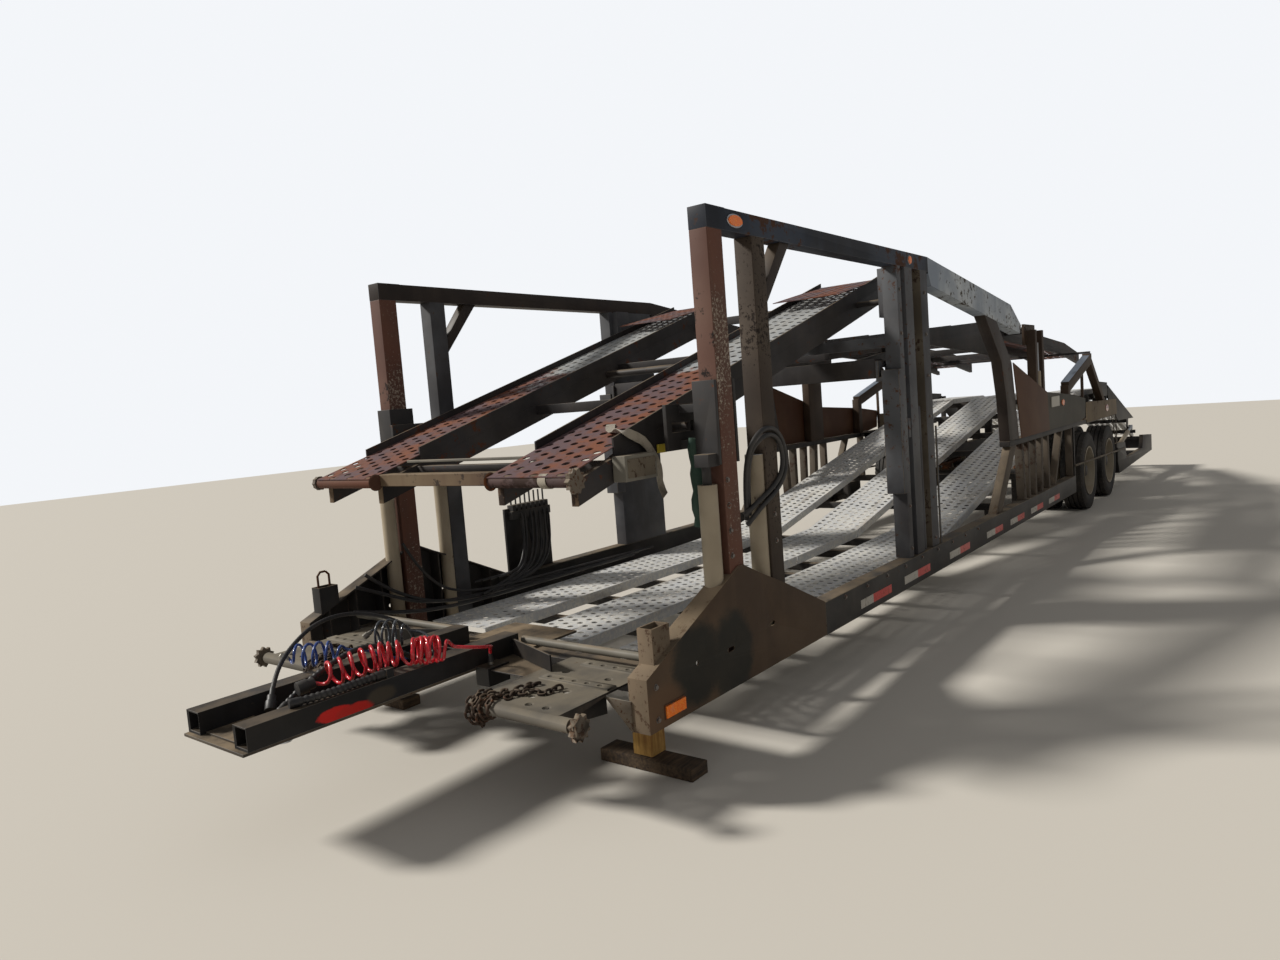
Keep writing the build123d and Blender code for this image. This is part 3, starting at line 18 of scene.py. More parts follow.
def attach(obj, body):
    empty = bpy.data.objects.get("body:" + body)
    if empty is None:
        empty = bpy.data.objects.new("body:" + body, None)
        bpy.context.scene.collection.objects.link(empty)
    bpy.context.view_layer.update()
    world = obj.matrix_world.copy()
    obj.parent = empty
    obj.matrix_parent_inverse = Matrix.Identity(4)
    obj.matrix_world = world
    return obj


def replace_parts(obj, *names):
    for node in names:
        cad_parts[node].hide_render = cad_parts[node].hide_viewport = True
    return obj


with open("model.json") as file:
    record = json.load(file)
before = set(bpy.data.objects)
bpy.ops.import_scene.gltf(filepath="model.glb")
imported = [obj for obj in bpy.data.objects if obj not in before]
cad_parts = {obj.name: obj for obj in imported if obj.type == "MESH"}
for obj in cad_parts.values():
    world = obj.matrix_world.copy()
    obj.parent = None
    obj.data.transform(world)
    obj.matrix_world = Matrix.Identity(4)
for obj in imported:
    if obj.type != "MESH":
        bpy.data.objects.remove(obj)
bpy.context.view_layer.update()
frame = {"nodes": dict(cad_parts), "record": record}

Shade = tuple[int, int, int]
Colour = tuple[float, float, float]
Point = tuple[float, float, float]
Pair = tuple[float, float]
Route = tuple[Point, ...]
LOG = logging.getLogger("trailer")
FORE = 6.268  # X of the gussets' front edge, from which stations run back
SIDE_FACE = 1.2955  # Y of the gussets' and sills' outer faces
CREASE = math.radians(40)  # edges sharper than this are eased


class Side(Enum):
    """The trailer's two sides, each with the sign of its Y."""

    LEFT = 1
    RIGHT = -1

    @property
    def label(self) -> str:
        """The side's name in names of pieces."""
        return self.name.lower()

    def band(self, first: float, second: float) -> Pair:
        """Lower and higher Y of two distances from the middle plane."""
        return ordered(self.value * first, self.value * second)


def tone(red: int, green: int, blue: int) -> Colour:
    """Linear colour of an 8-bit display colour."""
    parts = [value / 255 for value in (red, green, blue)]
    return tuple(p / 12.92 if p <= 0.04045 else ((p + 0.055) / 1.055) ** 2.4 for p in parts)


def darker(colour: Colour, share: float) -> Colour:
    """The colour at a share of its brightness."""
    return tuple(part * share for part in colour)


def at(x: float) -> float:
    """X in metres of a station in millimetres."""
    return x / 1000 + FORE


def station(x: float, y: float, z: float) -> Point:
    """Point in metres from one measured in millimetres from the gussets' front edge."""
    return at(x), y / 1000, z / 1000


def stations(*points: Point) -> Route:
    """Route in metres from points measured in millimetres."""
    return tuple(station(*point) for point in points)


def ordered(first: float, second: float) -> Pair:
    """Two numbers, the lower one first."""
    return (first, second) if first < second else (second, first)


def between(rear: float, front: float) -> Pair:
    """X in metres of two stations."""
    return at(rear), at(front)


def turns(count: int, start: float = 0.0) -> list[float]:
    """Angles of evenly spaced points round a circle, in radians."""
    return [start + 2 * math.pi * k / count for k in range(count)]


# Shaders
class Channel:
    """A shader socket that takes part in arithmetic."""

    def __init__(self, shading: "Shading", socket: bpy.types.NodeSocket) -> None:
        """Wrap an output socket of one shading tree."""
        self.shading = shading
        self.socket = socket

    def _maths(self, operation: str, first: "Channel | float", second: "Channel | float") -> "Channel":
        """Add one Math node to the tree."""
        return self.shading.node("ShaderNodeMath", {"operation": operation}, {0: first, 1: second})

    def __add__(self, other: "Channel | float") -> "Channel":
        """Sum."""
        return self._maths("ADD", self, other)

    __radd__ = __add__

    def __sub__(self, other: "Channel | float") -> "Channel":
        """Difference."""
        return self._maths("SUBTRACT", self, other)

    def __rsub__(self, other: float) -> "Channel":
        """Difference from a number."""
        return self._maths("SUBTRACT", other, self)

    def __mul__(self, other: "Channel | float") -> "Channel":
        """Product."""
        return self._maths("MULTIPLY", self, other)

    def __truediv__(self, other: "Channel | float") -> "Channel":
        """Quotient."""
        return self._maths("DIVIDE", self, other)

    def __pow__(self, other: "Channel | float") -> "Channel":
        """Power."""
        return self._maths("POWER", self, other)


class Shading:
    """One material's node tree and the few patterns that its finishes share."""

    def __init__(self, name: str) -> None:
        """Start a material with an empty shader.

        Args:
            name: The material's name.
        """
        self.material = bpy.data.materials.new(name)
        self.material.use_nodes = True
        self.tree = self.material.node_tree
        self.tree.nodes.clear()
        self.surface = self.tree.nodes.new("ShaderNodeBsdfPrincipled")
        output = self.tree.nodes.new("ShaderNodeOutputMaterial")
        self.tree.links.new(self.surface.outputs["BSDF"], output.inputs["Surface"])

    @staticmethod
    def _find(sockets: Sequence[bpy.types.NodeSocket], key: str | int) -> bpy.types.NodeSocket:
        """Socket of a node by its place, identifier or name.

        Args:
            sockets: The node's sockets.
            key: Place, identifier or name.

        Returns:
            The socket.
        """
        if isinstance(key, int):
            return sockets[key]
        for socket in sockets:
            if socket.identifier == key:
                return socket
        return sockets[key]

    def feed(self, socket: bpy.types.NodeSocket, value: object) -> None:
        """Link a channel to a socket, or set the socket's own value.

        Args:
            socket: An input socket.
            value: A channel, or the value.
        """
        if isinstance(value, Channel):
            self.tree.links.new(value.socket, socket)
        elif isinstance(value, tuple) and len(value) == 3 and len(socket.default_value) == 4:
            socket.default_value = (*value, 1.0)
        else:
            socket.default_value = value

    def node(self, kind: str, settings: dict, sockets: dict, output: str | int = 0) -> Channel:
        """Add any node.

        Args:
            kind: The node's type.
            settings: Its properties, set first.
            sockets: Values or channels of its input sockets.
            output: The output socket that the result reads.

        Returns:
            The output as a channel.
        """
        made = self.tree.nodes.new(kind)
        for name, value in settings.items():
            setattr(made, name, value)
        for key, value in sockets.items():
            self.feed(self._find(made.inputs, key), value)
        return Channel(self, self._find(made.outputs, output))

    def place(self, stretch: Point = (1.0, 1.0, 1.0)) -> Channel:
        """Object coordinates, scaled along each axis."""
        spot = self.node("ShaderNodeTexCoord", {}, {}, "Object")
        return self.node("ShaderNodeMapping", {}, {"Vector": spot, "Scale": stretch})

    def axis(self, name: str, source: str = "Object") -> Channel:
        """One axis of the object coordinates or of the surface's own normal."""
        spot = self.node("ShaderNodeTexCoord", {}, {}, source)
        return self.node("ShaderNodeSeparateXYZ", {}, {0: spot}, name)

    def noise(self, scale: float, detail: float, rough: float, stretch: Point = (1.0, 1.0, 1.0)) -> Channel:
        """Fractal noise from 0 to 1."""
        sockets = {"Vector": self.place(stretch), "Scale": scale, "Detail": detail, "Roughness": rough}
        return self.node("ShaderNodeTexNoise", {}, sockets)

    def cells(self, scale: float, feature: str = "F1", output: str = "Distance") -> Channel:
        """Voronoi cells."""
        sockets = {"Vector": self.place(), "Scale": scale}
        return self.node("ShaderNodeTexVoronoi", {"feature": feature}, sockets, output)

    def step(self, value: Channel, low: float, high: float, start: float = 0.0, end: float = 1.0) -> Channel:
        """Smooth step of a channel between two thresholds."""
        sockets = {"Value": value, "From Min": low, "From Max": high, "To Min": start, "To Max": end}
        return self.node("ShaderNodeMapRange", {"interpolation_type": "SMOOTHSTEP"}, sockets)

    def mix(self, factor: Channel | float, first: Channel | Colour, second: Channel | Colour) -> Channel:
        """Blend of two colours."""
        sockets = {"Factor_Float": factor, "A_Color": first, "B_Color": second}
        return self.node("ShaderNodeMix", {"data_type": "RGBA"}, sockets, "Result_Color")

    def bump(self, height: Channel, strength: float, depth: float) -> None:
        """Feed the surface's normal from a height."""
        sockets = {"Height": height, "Strength": strength, "Distance": depth}
        self.feed(self.surface.inputs["Normal"], self.node("ShaderNodeBump", {}, sockets))

    def set(self, **values: object) -> None:
        """Set or link the surface's sockets, named with underscores for spaces."""
        for name, value in values.items():
            self.feed(self.surface.inputs[name.replace("_", " ")], value)


@dataclass(frozen=True)
class Patch:
    """A rounded area where another colour shows through or over the finish."""

    centre: Point
    reach: Point
    colour: Colour
    edge: float

    def inside(self, shading: Shading, ragged: Channel) -> Channel:
        """How far a point lies inside the patch.

        Args:
            shading: The material that is built.
            ragged: Noise that breaks up the patch's edge.

        Returns:
            A channel from 0 outside to 1 inside.
        """
        parts = [((shading.axis(n) - c) / r) ** 2 for n, c, r in zip("XYZ", self.centre, self.reach)]
        gap = parts[0] + parts[1] + parts[2]
        return 1 - shading.step(gap + (ragged - 0.5) * 1.3, 1 - self.edge, 1 + self.edge)


@dataclass(frozen=True)
class Finish:
    """Base of every finish: a name, and one material made when it is first asked for."""

    name: str

    def dress(self, shading: Shading) -> None:
        """Build the shader; each finish has its own."""
        raise NotImplementedError

    def material(self) -> bpy.types.Material:
        """The finish's material, built once.

        Returns:
            The material.
        """
        name = f"{self.name}_finish"
        ready = bpy.data.materials.get(name)
        if ready:
            return ready
        shading = Shading(name)
        self.dress(shading)
        return shading.material


@dataclass(frozen=True)
class WeatheredPaint(Finish):
    """Old paint on steel: faded, chipped to primer or rust, streaked, and dusty where it faces up."""

    paint: Colour
    faded: Colour
    under: Colour
    peel: float
    dusting: float
    rough: float
    chips: float
    dust: Colour
    patches: tuple[Patch, ...]

    def dress(self, shading: Shading) -> None:
        """Layer the paint, its chips, streaks and dust.

        Args:
            shading: The material that is built.
        """
        broad = shading.noise(1.7, 4.0, 0.55)
        fine = shading.noise(self.chips, 7.0, 0.72)
        streak = shading.noise(9.0, 3.0, 0.5, (1.0, 1.0, 0.09))
        colour = shading.mix(shading.step(broad, 0.38, 0.68), self.paint, self.faded)
        colour = shading.mix(shading.step(streak, 0.52, 0.74) * 0.35, colour, self.faded)
        for patch in self.patches:
            colour = shading.mix(patch.inside(shading, fine), colour, patch.colour)
        line = 0.72 - 0.34 * self.peel
        chip = shading.step(fine * 0.62 + broad * 0.38, line - 0.035, line + 0.015)
        rust = shading.mix(shading.noise(38.0, 5.0, 0.7), self.under, darker(self.under, 0.45))
        colour = shading.mix(chip, colour, rust)
        up = shading.step(shading.axis("Z", "Normal"), 0.25, 0.95)
        lying = shading.step(shading.noise(5.0, 6.0, 0.65), 0.28, 0.62) * up * self.dusting
        film = shading.step(shading.noise(3.1, 5.0, 0.6), 0.35, 0.8) * (0.16 * self.dusting)
        colour = shading.mix(lying, shading.mix(film, colour, self.dust), self.dust)
        shading.set(Base_Color=colour, Roughness=shading.step(chip + lying, 0.0, 1.0, self.rough, 0.88))
        shading.set(Specular_IOR_Level=0.22)
        shading.bump(fine * 0.4 - chip * 0.6 + shading.noise(90.0, 3.0, 0.6) * 0.25, 0.35, 0.0016)


@dataclass(frozen=True)
class Galvanised(Finish):
    """Zinc-coated plate, whitened by weather, with spangle, tyre marks and rust that spreads from one end."""

    zinc: Colour = tone(168, 172, 176)
    chalk: Colour = tone(206, 203, 194)
    dirt: Colour = tone(112, 100, 84)
    rust: Colour = tone(116, 66, 44)
    bloom: Colour = tone(92, 78, 82)
    rust_from: float | None = None
    rusting: float = 0.12
    metal: float = 0.3

    def dress(self, shading: Shading) -> None:
        """Layer the zinc, chalk, dirt and rust.

        Args:
            shading: The material that is built.
        """
        broad = shading.noise(2.3, 5.0, 0.6)
        spangle = shading.cells(55.0, output="Color")
        grey = shading.node("ShaderNodeSeparateColor", {}, {0: spangle})
        lanes = shading.noise(7.0, 5.0, 0.6, (0.12, 1.6, 1.0))
        fine = shading.noise(30.0, 6.0, 0.7)
        colour = shading.mix(shading.step(broad * 0.5 + grey * 0.25 + fine * 0.3, 0.35, 0.75), self.zinc, self.chalk)
        colour = shading.mix(shading.step(lanes * 0.7 + fine * 0.3, 0.5, 0.68) * 0.55, colour, self.dirt)
        if self.rust_from is None:
            amount = shading.step(fine * 0.55 + broad * 0.45, 0.72 - 0.5 * self.rusting, 0.78 - 0.4 * self.rusting)
        else:
            run = shading.axis("X") + (broad - 0.5) * 2.2 + (fine - 0.5) * 0.8
            amount = shading.step(run, self.rust_from - 0.12, self.rust_from + 0.16)
        scale = shading.mix(shading.step(shading.noise(4.2, 6.0, 0.68), 0.38, 0.56), self.rust, self.bloom)
        flake = shading.mix(shading.step(fine, 0.5, 0.7), scale, darker(self.rust, 0.5))
        colour = shading.mix(amount, colour, flake)
        shading.set(Base_Color=colour, Roughness=shading.step(amount, 0.0, 1.0, 0.46, 0.85))
        shading.set(Metallic=shading.step(amount, 0.0, 1.0, self.metal, 0.0))
        shading.bump(fine * 0.5 + grey * 0.1 + amount * 0.4, 0.3, 0.0012)


@dataclass(frozen=True)
class Rubber(Finish):
    """Black or coloured rubber with a dusty bloom."""

    body: Colour = tone(36, 35, 34)
    bloom: Colour = tone(92, 84, 74)
    dusting: float = 0.35
    grain: float = 60.0
    rough: float = 0.68

    def dress(self, shading: Shading) -> None:
        """Layer the rubber and its dust.

        Args:
            shading: The material that is built.
        """
        cloud = shading.step(shading.noise(6.0, 6.0, 0.65), 0.38, 0.72) * self.dusting
        speck = shading.step(shading.noise(self.grain, 4.0, 0.7), 0.55, 0.72) * (self.dusting * 0.5)
        colour = shading.mix(speck, shading.mix(cloud, self.body, self.bloom), self.bloom)
        shading.set(Base_Color=colour, Roughness=shading.step(cloud, 0.0, 1.0, self.rough, 0.9))
        shading.bump(shading.noise(self.grain * 3, 3.0, 0.6), 0.25, 0.0008)


@dataclass(frozen=True)
class SoftPlastic(Finish):
    """Glossy coloured nylon of the coiled air lines, dulled and scuffed."""

    body: Colour = tone(190, 40, 48)
    scuff: Colour = tone(206, 120, 110)

    def dress(self, shading: Shading) -> None:
        """Layer the nylon and its scuffs.

        Args:
            shading: The material that is built.
        """
        wear = shading.step(shading.noise(45.0, 5.0, 0.65), 0.5, 0.72) * 0.5
        shading.set(Base_Color=shading.mix(wear, self.body, self.scuff))
        shading.set(Roughness=shading.step(wear, 0.0, 0.5, 0.24, 0.6), Coat_Weight=0.3)
        shading.bump(shading.noise(180.0, 2.0, 0.5), 0.12, 0.0004)


@dataclass(frozen=True)
class Lens(Finish):
    """Ribbed lamp lens over a bright reflector."""

    body: Colour = tone(236, 112, 20)
    deep: Colour = tone(172, 58, 6)

    def dress(self, shading: Shading) -> None:
        """Layer the ribs, the cube pattern of the reflector and dust.

        Args:
            shading: The material that is built.
        """
        cells = shading.cells(160.0)
        dusty = shading.step(shading.noise(24.0, 5.0, 0.6), 0.5, 0.75) * 0.35
        colour = shading.mix(shading.step(cells, 0.15, 0.6), self.body, self.deep)
        shading.set(Base_Color=shading.mix(dusty, colour, tone(176, 150, 118)), Roughness=0.2 + dusty * 0.8)
        shading.set(Coat_Weight=0.6)
        shading.bump(cells, 0.4, 0.001)


@dataclass(frozen=True)
class Timber(Finish):
    """Weathered softwood with grain along one axis and stained ends."""

    pale: Colour = tone(176, 150, 104)
    dark: Colour = tone(98, 80, 58)
    grain: Point = (0.12, 1.0, 1.0)

    def dress(self, shading: Shading) -> None:
        """Layer the grain, checks and stain.

        Args:
            shading: The material that is built.
        """
        lines = shading.noise(60.0, 5.0, 0.62, self.grain)
        cloud = shading.noise(6.0, 4.0, 0.6)
        check = shading.step(shading.noise(34.0, 2.0, 0.5, tuple(g / 2 for g in self.grain)), 0.66, 0.7)
        colour = shading.mix(shading.step(lines * 0.6 + cloud * 0.4, 0.34, 0.68), self.dark, self.pale)
        shading.set(Base_Color=shading.mix(check, colour, darker(self.dark, 0.35)), Roughness=0.86)
        shading.bump(lines - check, 0.5, 0.002)


@dataclass(frozen=True)
class BrightSteel(Finish):
    """Ground or plated steel with fine lines, smears and freckles of rust."""

    metal: Colour = tone(190, 194, 200)
    smear: Colour = tone(120, 112, 100)
    rust: Colour = tone(112, 66, 44)
    rough: float = 0.3
    rusting: float = 0.15

    def dress(self, shading: Shading) -> None:
        """Layer the steel, its smears and rust.

        Args:
            shading: The material that is built.
        """
        fine = shading.noise(70.0, 5.0, 0.7)
        smears = shading.step(shading.noise(7.0, 4.0, 0.6, (1.0, 1.0, 0.3)), 0.48, 0.76) * 0.7
        spots = shading.step(fine, 0.76 - 0.3 * self.rusting, 0.8 - 0.25 * self.rusting)
        colour = shading.mix(spots, shading.mix(smears, self.metal, self.smear), self.rust)
        shading.set(Base_Color=colour, Metallic=shading.step(spots, 0.0, 1.0, 0.85, 0.1))
        shading.set(Roughness=shading.step(spots + smears, 0.0, 1.0, self.rough, 0.8))
        shading.bump(fine, 0.15, 0.0006)


@dataclass(frozen=True)
class ReflectiveTape(Finish):
    """Prismatic safety tape with a fine hexagonal cell, scuffed and dusty."""

    body: Colour = tone(198, 34, 36)
    glint: Colour = tone(232, 92, 80)

    def dress(self, shading: Shading) -> None:
        """Layer the cells and the scuffs.

        Args:
            shading: The material that is built.
        """
        cells = shading.cells(420.0, feature="DISTANCE_TO_EDGE")
        scuff = shading.step(shading.noise(22.0, 6.0, 0.7), 0.52, 0.7) * 0.6
        colour = shading.mix(shading.step(cells, 0.02, 0.12), self.glint, self.body)
        shading.set(Base_Color=shading.mix(scuff, colour, tone(124, 104, 84)), Roughness=0.3 + scuff * 0.7)
        shading.set(Coat_Weight=0.4)
        shading.bump(cells, 0.2, 0.0004)


@dataclass(frozen=True)
class Webbing(Finish):
    """Woven polyester strap, frayed and sun-bleached."""

    body: Colour = tone(176, 160, 132)
    shade: Colour = tone(110, 98, 80)

    def dress(self, shading: Shading) -> None:
        """Layer the twill of the weave and the stains.

        Args:
            shading: The material that is built.
        """
        sockets = {"Vector": shading.place(), "Scale": 260.0}
        weave = shading.node("ShaderNodeTexWave", {"bands_direction": "DIAGONAL"}, sockets)
        stain = shading.noise(11.0, 5.0, 0.65)
        colour = shading.mix(shading.step(stain, 0.42, 0.7), self.body, self.shade)
        shading.set(Base_Color=shading.mix(weave * 0.35, colour, self.shade), Roughness=0.9, Sheen_Weight=0.2)
        shading.bump(weave, 0.4, 0.0008)


# Finishes of this trailer
DUST = tone(150, 132, 108)


def weathered(
    name: str, paint: Shade, faded: Shade, under: Shade, peel: float, dusting: float, rough: float = 0.55,
    chips: float = 16.0, dust: Colour = DUST, patches: tuple[Patch, ...] = (),
) -> WeatheredPaint:
    """Weathered paint from display colours.

    Args:
        name: The finish's name.
        paint: The paint.
        faded: The paint where it has faded.
        under: Primer, rust or bare steel in the chips.
        peel: How much of the paint is gone.
        dusting: How much dust lies on what faces up.
        rough: Roughness of the paint.
        chips: Fineness of the chips.
        dust: Colour of the dust.
        patches: Stains and spots of other colours.

    Returns:
        The finish.
    """
    shades = (tone(*shade) for shade in (paint, faded, under))
    return WeatheredPaint(name, *shades, peel, dusting, rough, chips, dust, patches)


FRAME_BLACK = weathered("frame_black", (36, 35, 36), (58, 57, 58), (104, 66, 46), 0.22, 0.5, 0.5)
TONGUE_BLACK = weathered(
    "tongue_black", (27, 27, 29), (48, 49, 52), (128, 104, 76), 0.2, 0.3, 0.4, 22.0,
    patches=(
        Patch((7.03, 0.241, 0.49), (0.085, 0.03, 0.030), tone(206, 34, 30), 0.22),
        Patch((6.94, 0.241, 0.478), (0.095, 0.03, 0.028), tone(190, 38, 32), 0.3),
        Patch((6.80, 0.241, 0.50), (0.07, 0.03, 0.035), tone(70, 64, 56), 0.5),
    ),
)
TONGUE_EDGE = weathered("tongue_edge", (74, 74, 76), (128, 124, 116), (120, 92, 66), 0.42, 0.3, 0.5, 30.0)
TONGUE_FLOOR = weathered("tongue_floor", (62, 56, 50), (104, 94, 80), (96, 60, 42), 0.35, 0.8, 0.6)
PIPE_GREY = weathered("pipe_grey", (98, 96, 90), (132, 128, 118), (96, 70, 54), 0.3, 0.5, 0.55, 16.0)
GUSSET_BROWN = weathered(
    "gusset_brown", (72, 57, 45), (90, 73, 57), (112, 76, 50), 0.12, 0.35, 0.62, 9.0,
    patches=(
        Patch((5.90, 1.2955, 0.51), (0.20, 0.40, 0.18), tone(42, 41, 37), 0.4),
        Patch((5.60, 1.2955, 0.47), (0.17, 0.40, 0.21), tone(40, 40, 37), 0.4),
        Patch((6.16, 1.2955, 0.40), (0.14, 0.05, 0.10), tone(94, 72, 54), 0.6),
    ),
)
GUSSET_EDGE = weathered("gusset_edge", (128, 108, 88), (150, 128, 104), (96, 66, 48), 0.4, 0.4, 0.7, 30.0)
BARE_FLANGE = weathered(
    "bare_flange", (122, 106, 88), (98, 86, 72), (84, 62, 48), 0.42, 0.35, 0.75, 26.0, dust=tone(138, 122, 98),
)
APRON_PLATE = weathered(
    "apron_plate", (92, 88, 82), (116, 110, 100), (84, 62, 48), 0.32, 0.5, 0.75, 12.0, dust=tone(132, 122, 104),
)
RUSTED_IRON = weathered("rusted_iron", (84, 60, 48), (70, 54, 46), (122, 74, 46), 0.6, 0.3, 0.85, 40.0)
CHAIN_IRON = weathered("chain_iron", (48, 39, 35), (70, 54, 44), (112, 68, 42), 0.42, 0.25, 0.7, 60.0)
WHEEL_IRON = weathered("wheel_iron", (84, 76, 68), (116, 106, 94), (92, 62, 46), 0.4, 0.3, 0.6, 50.0)
POST_DARK = weathered("post_dark", (84, 54, 45), (98, 70, 60), (40, 34, 33), 0.3, 0.3, 0.6, 20.0)
POST_SPECKED = weathered(
    "post_specked", (104, 68, 55), (88, 64, 56), (186, 172, 156), 0.42, 0.3, 0.62, 60.0, dust=tone(176, 156, 132),
)
POST_UMBER = weathered(
    "post_umber", (58, 49, 43), (78, 68, 59), (42, 34, 31), 0.4, 0.3, 0.66, 50.0, dust=tone(150, 134, 114),
)
POST_GREY = weathered("post_grey", (58, 58, 62), (88, 90, 94), (94, 62, 46), 0.3, 0.35, 0.5, 18.0)
POST_WORN = weathered("post_worn", (86, 79, 69), (116, 107, 93), (74, 58, 48), 0.42, 0.35, 0.6, 26.0)
RAIL_DARK = weathered("rail_dark", (44, 38, 36), (62, 54, 50), (96, 62, 46), 0.25, 0.35, 0.5, 16.0)
RAIL_BLUE = weathered("rail_blue", (34, 38, 47), (58, 66, 80), (86, 60, 48), 0.4, 0.25, 0.5, 12.0)
# The near rail's pale slope: partly peeled paint, partly a painted reflection of the sky on a face in shade.
RAIL_PEELED_AND_SKY_SHEEN = weathered("rail_peeled", (138, 148, 162), (196, 202, 206), (84, 74, 68), 0.44, 0.25, 0.6, 14.0)
RAIL_EDGE = weathered("rail_edge", (72, 78, 88), (112, 116, 120), (98, 70, 54), 0.4, 0.3, 0.5, 30.0)
SIDE_BROWN = weathered("side_brown", (76, 47, 31), (90, 62, 44), (112, 66, 40), 0.2, 0.35, 0.6, 10.0)
SIDE_OLIVE = weathered("side_olive", (50, 49, 42), (66, 63, 54), (88, 60, 44), 0.2, 0.35, 0.6, 10.0)
FENDER_BEIGE = weathered("fender_beige", (118, 104, 84), (100, 88, 72), (76, 62, 52), 0.36, 0.4, 0.65, 11.0)
STRUT_BEIGE = weathered("strut_beige", (90, 81, 71), (70, 64, 57), (72, 54, 44), 0.42, 0.4, 0.65, 13.0)
ARM_BROWN = weathered("arm_brown", (58, 45, 36), (76, 62, 52), (110, 72, 48), 0.28, 0.35, 0.55, 15.0)
SILL_GREY = weathered("sill_grey", (46, 45, 46), (68, 67, 66), (100, 62, 44), 0.24, 0.5, 0.5, 14.0)
BARREL_PAINT = weathered("barrel_paint", (168, 156, 136), (140, 128, 110), (90, 62, 46), 0.3, 0.4, 0.4, 14.0)
DECK_BLACK = weathered("deck_black", (40, 38, 39), (62, 60, 62), (100, 60, 42), 0.34, 0.45, 0.55, 14.0)
DECK_RUST = weathered("deck_rust", (96, 60, 46), (78, 64, 64), (62, 46, 42), 0.4, 0.4, 0.75, 14.0)
BAR_PATCHED = weathered("bar_patched", (110, 94, 74), (82, 62, 50), (58, 48, 44), 0.48, 0.5, 0.7, 11.0)
RIM_PAINT = weathered("rim_paint", (166, 156, 138), (138, 128, 112), (96, 62, 42), 0.24, 0.5, 0.5, 12.0)
TAG_YELLOW = weathered("tag_yellow", (206, 184, 58), (184, 164, 70), (70, 60, 40), 0.16, 0.3, 0.5, 60.0)
PLATE_WHITE = weathered("plate_white", (208, 206, 198), (188, 184, 174), (120, 100, 80), 0.12, 0.3, 0.5, 30.0)
LOWER_ZINC = Galvanised(
    "lower_zinc", tone(200, 202, 205), tone(232, 229, 221), tone(146, 134, 116), rusting=0.06, metal=0.12,
)
FRONT_ZINC = Galvanised(
    "front_zinc", rust=tone(118, 68, 44), bloom=tone(92, 72, 76), rust_from=4.55, chalk=tone(190, 190, 186),
)
FLAP_RUST = Galvanised("flap_rust", tone(120, 100, 88), tone(150, 136, 120), rusting=0.9)
UPPER_ZINC = Galvanised("upper_zinc", rusting=0.4, zinc=tone(140, 142, 146), chalk=tone(172, 170, 164))
REAR_ZINC = Galvanised("rear_zinc", rusting=0.75, zinc=tone(120, 116, 112), chalk=tone(150, 142, 130))
TYRE_RUBBER = Rubber("tyre_rubber", tone(25, 24, 24), tone(84, 75, 64), 0.32, 40.0, 0.72)
HOSE_RUBBER = Rubber("hose_rubber", tone(34, 34, 37), tone(96, 90, 82), 0.3, 70.0, 0.5)
COIL_RED = SoftPlastic("coil_red", tone(196, 34, 48), tone(214, 110, 104))
COIL_BLUE = SoftPlastic("coil_blue", tone(44, 74, 146), tone(120, 140, 178))
COIL_BLACK = SoftPlastic("coil_black", tone(66, 70, 76), tone(136, 140, 146))
SLEEVE_GREEN = Rubber("sleeve_green", tone(34, 62, 52), tone(88, 104, 88), 0.3, 50.0, 0.75)
AMBER = Lens("amber_lens", tone(255, 156, 40), tone(252, 116, 14))
RED_LENS = Lens("red_lens", tone(186, 84, 70), tone(140, 44, 36))
PROP_PLANK = Timber("prop_plank", tone(104, 84, 62), tone(48, 38, 30))
PROP_BLOCK = Timber("prop_block", tone(206, 164, 92), tone(140, 100, 52), (1.0, 1.0, 0.12))
ROD_STEEL = BrightSteel("rod_steel")
ARM_STEEL = BrightSteel("arm_steel", tone(168, 180, 196), tone(112, 116, 122), rough=0.36, rusting=0.3)
BOLT_STEEL = BrightSteel("bolt_steel", tone(128, 124, 120), tone(92, 84, 76), rough=0.5, rusting=0.8)
COUPLING_METAL = BrightSteel("coupling_metal", tone(150, 146, 138), tone(98, 92, 84), rough=0.42, rusting=0.4)
TAPE_RED = ReflectiveTape("tape_red")
TAPE_WHITE = ReflectiveTape("tape_white", tone(176, 171, 160), tone(206, 202, 194))
STRAP_CLOTH = Webbing("strap_cloth", tone(166, 157, 142), tone(108, 100, 88))


# Meshes
def stitch(rings: int, sides: int, closed: bool) -> list[tuple[int, ...]]:
    """Faces between rings of corners.

    Args:
        rings: Number of rings, whose corners follow each other.
        sides: Corners in each ring.
        closed: Whether the last ring joins the first; if not, both are capped.

    Returns:
        Corner numbers of each face.
    """
    faces = [] if closed else [tuple(range(sides)), tuple(range((rings - 1) * sides, rings * sides))]
    for ring in range(rings if closed else rings - 1):
        a, b = ring * sides, (ring + 1) % rings * sides
        faces += [(a + i, a + (i + 1) % sides, b + (i + 1) % sides, b + i) for i in range(sides)]
    return faces


def set_out(
    name: str, mesh: bpy.types.Mesh, finishes: Iterable[Finish], smooth: float, body: str
) -> bpy.types.Object:
    """Make a finished object of a mesh.

    Args:
        name: The piece's name.
        mesh: Its mesh.
        finishes: Its finishes, in the order of its material numbers.
        smooth: Edges sharper than this angle stay crisp, in degrees.
        body: The CAD body that it rides on.

    Returns:
        The object, riding on its body.
    """
    for finish in finishes:
        mesh.materials.append(finish.material())
    mesh.shade_smooth()
    mesh.set_sharp_from_angle(angle=math.radians(smooth))
    made = bpy.data.objects.new(name, mesh)
    bpy.context.scene.collection.objects.link(made)
    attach(made, body)
    return made


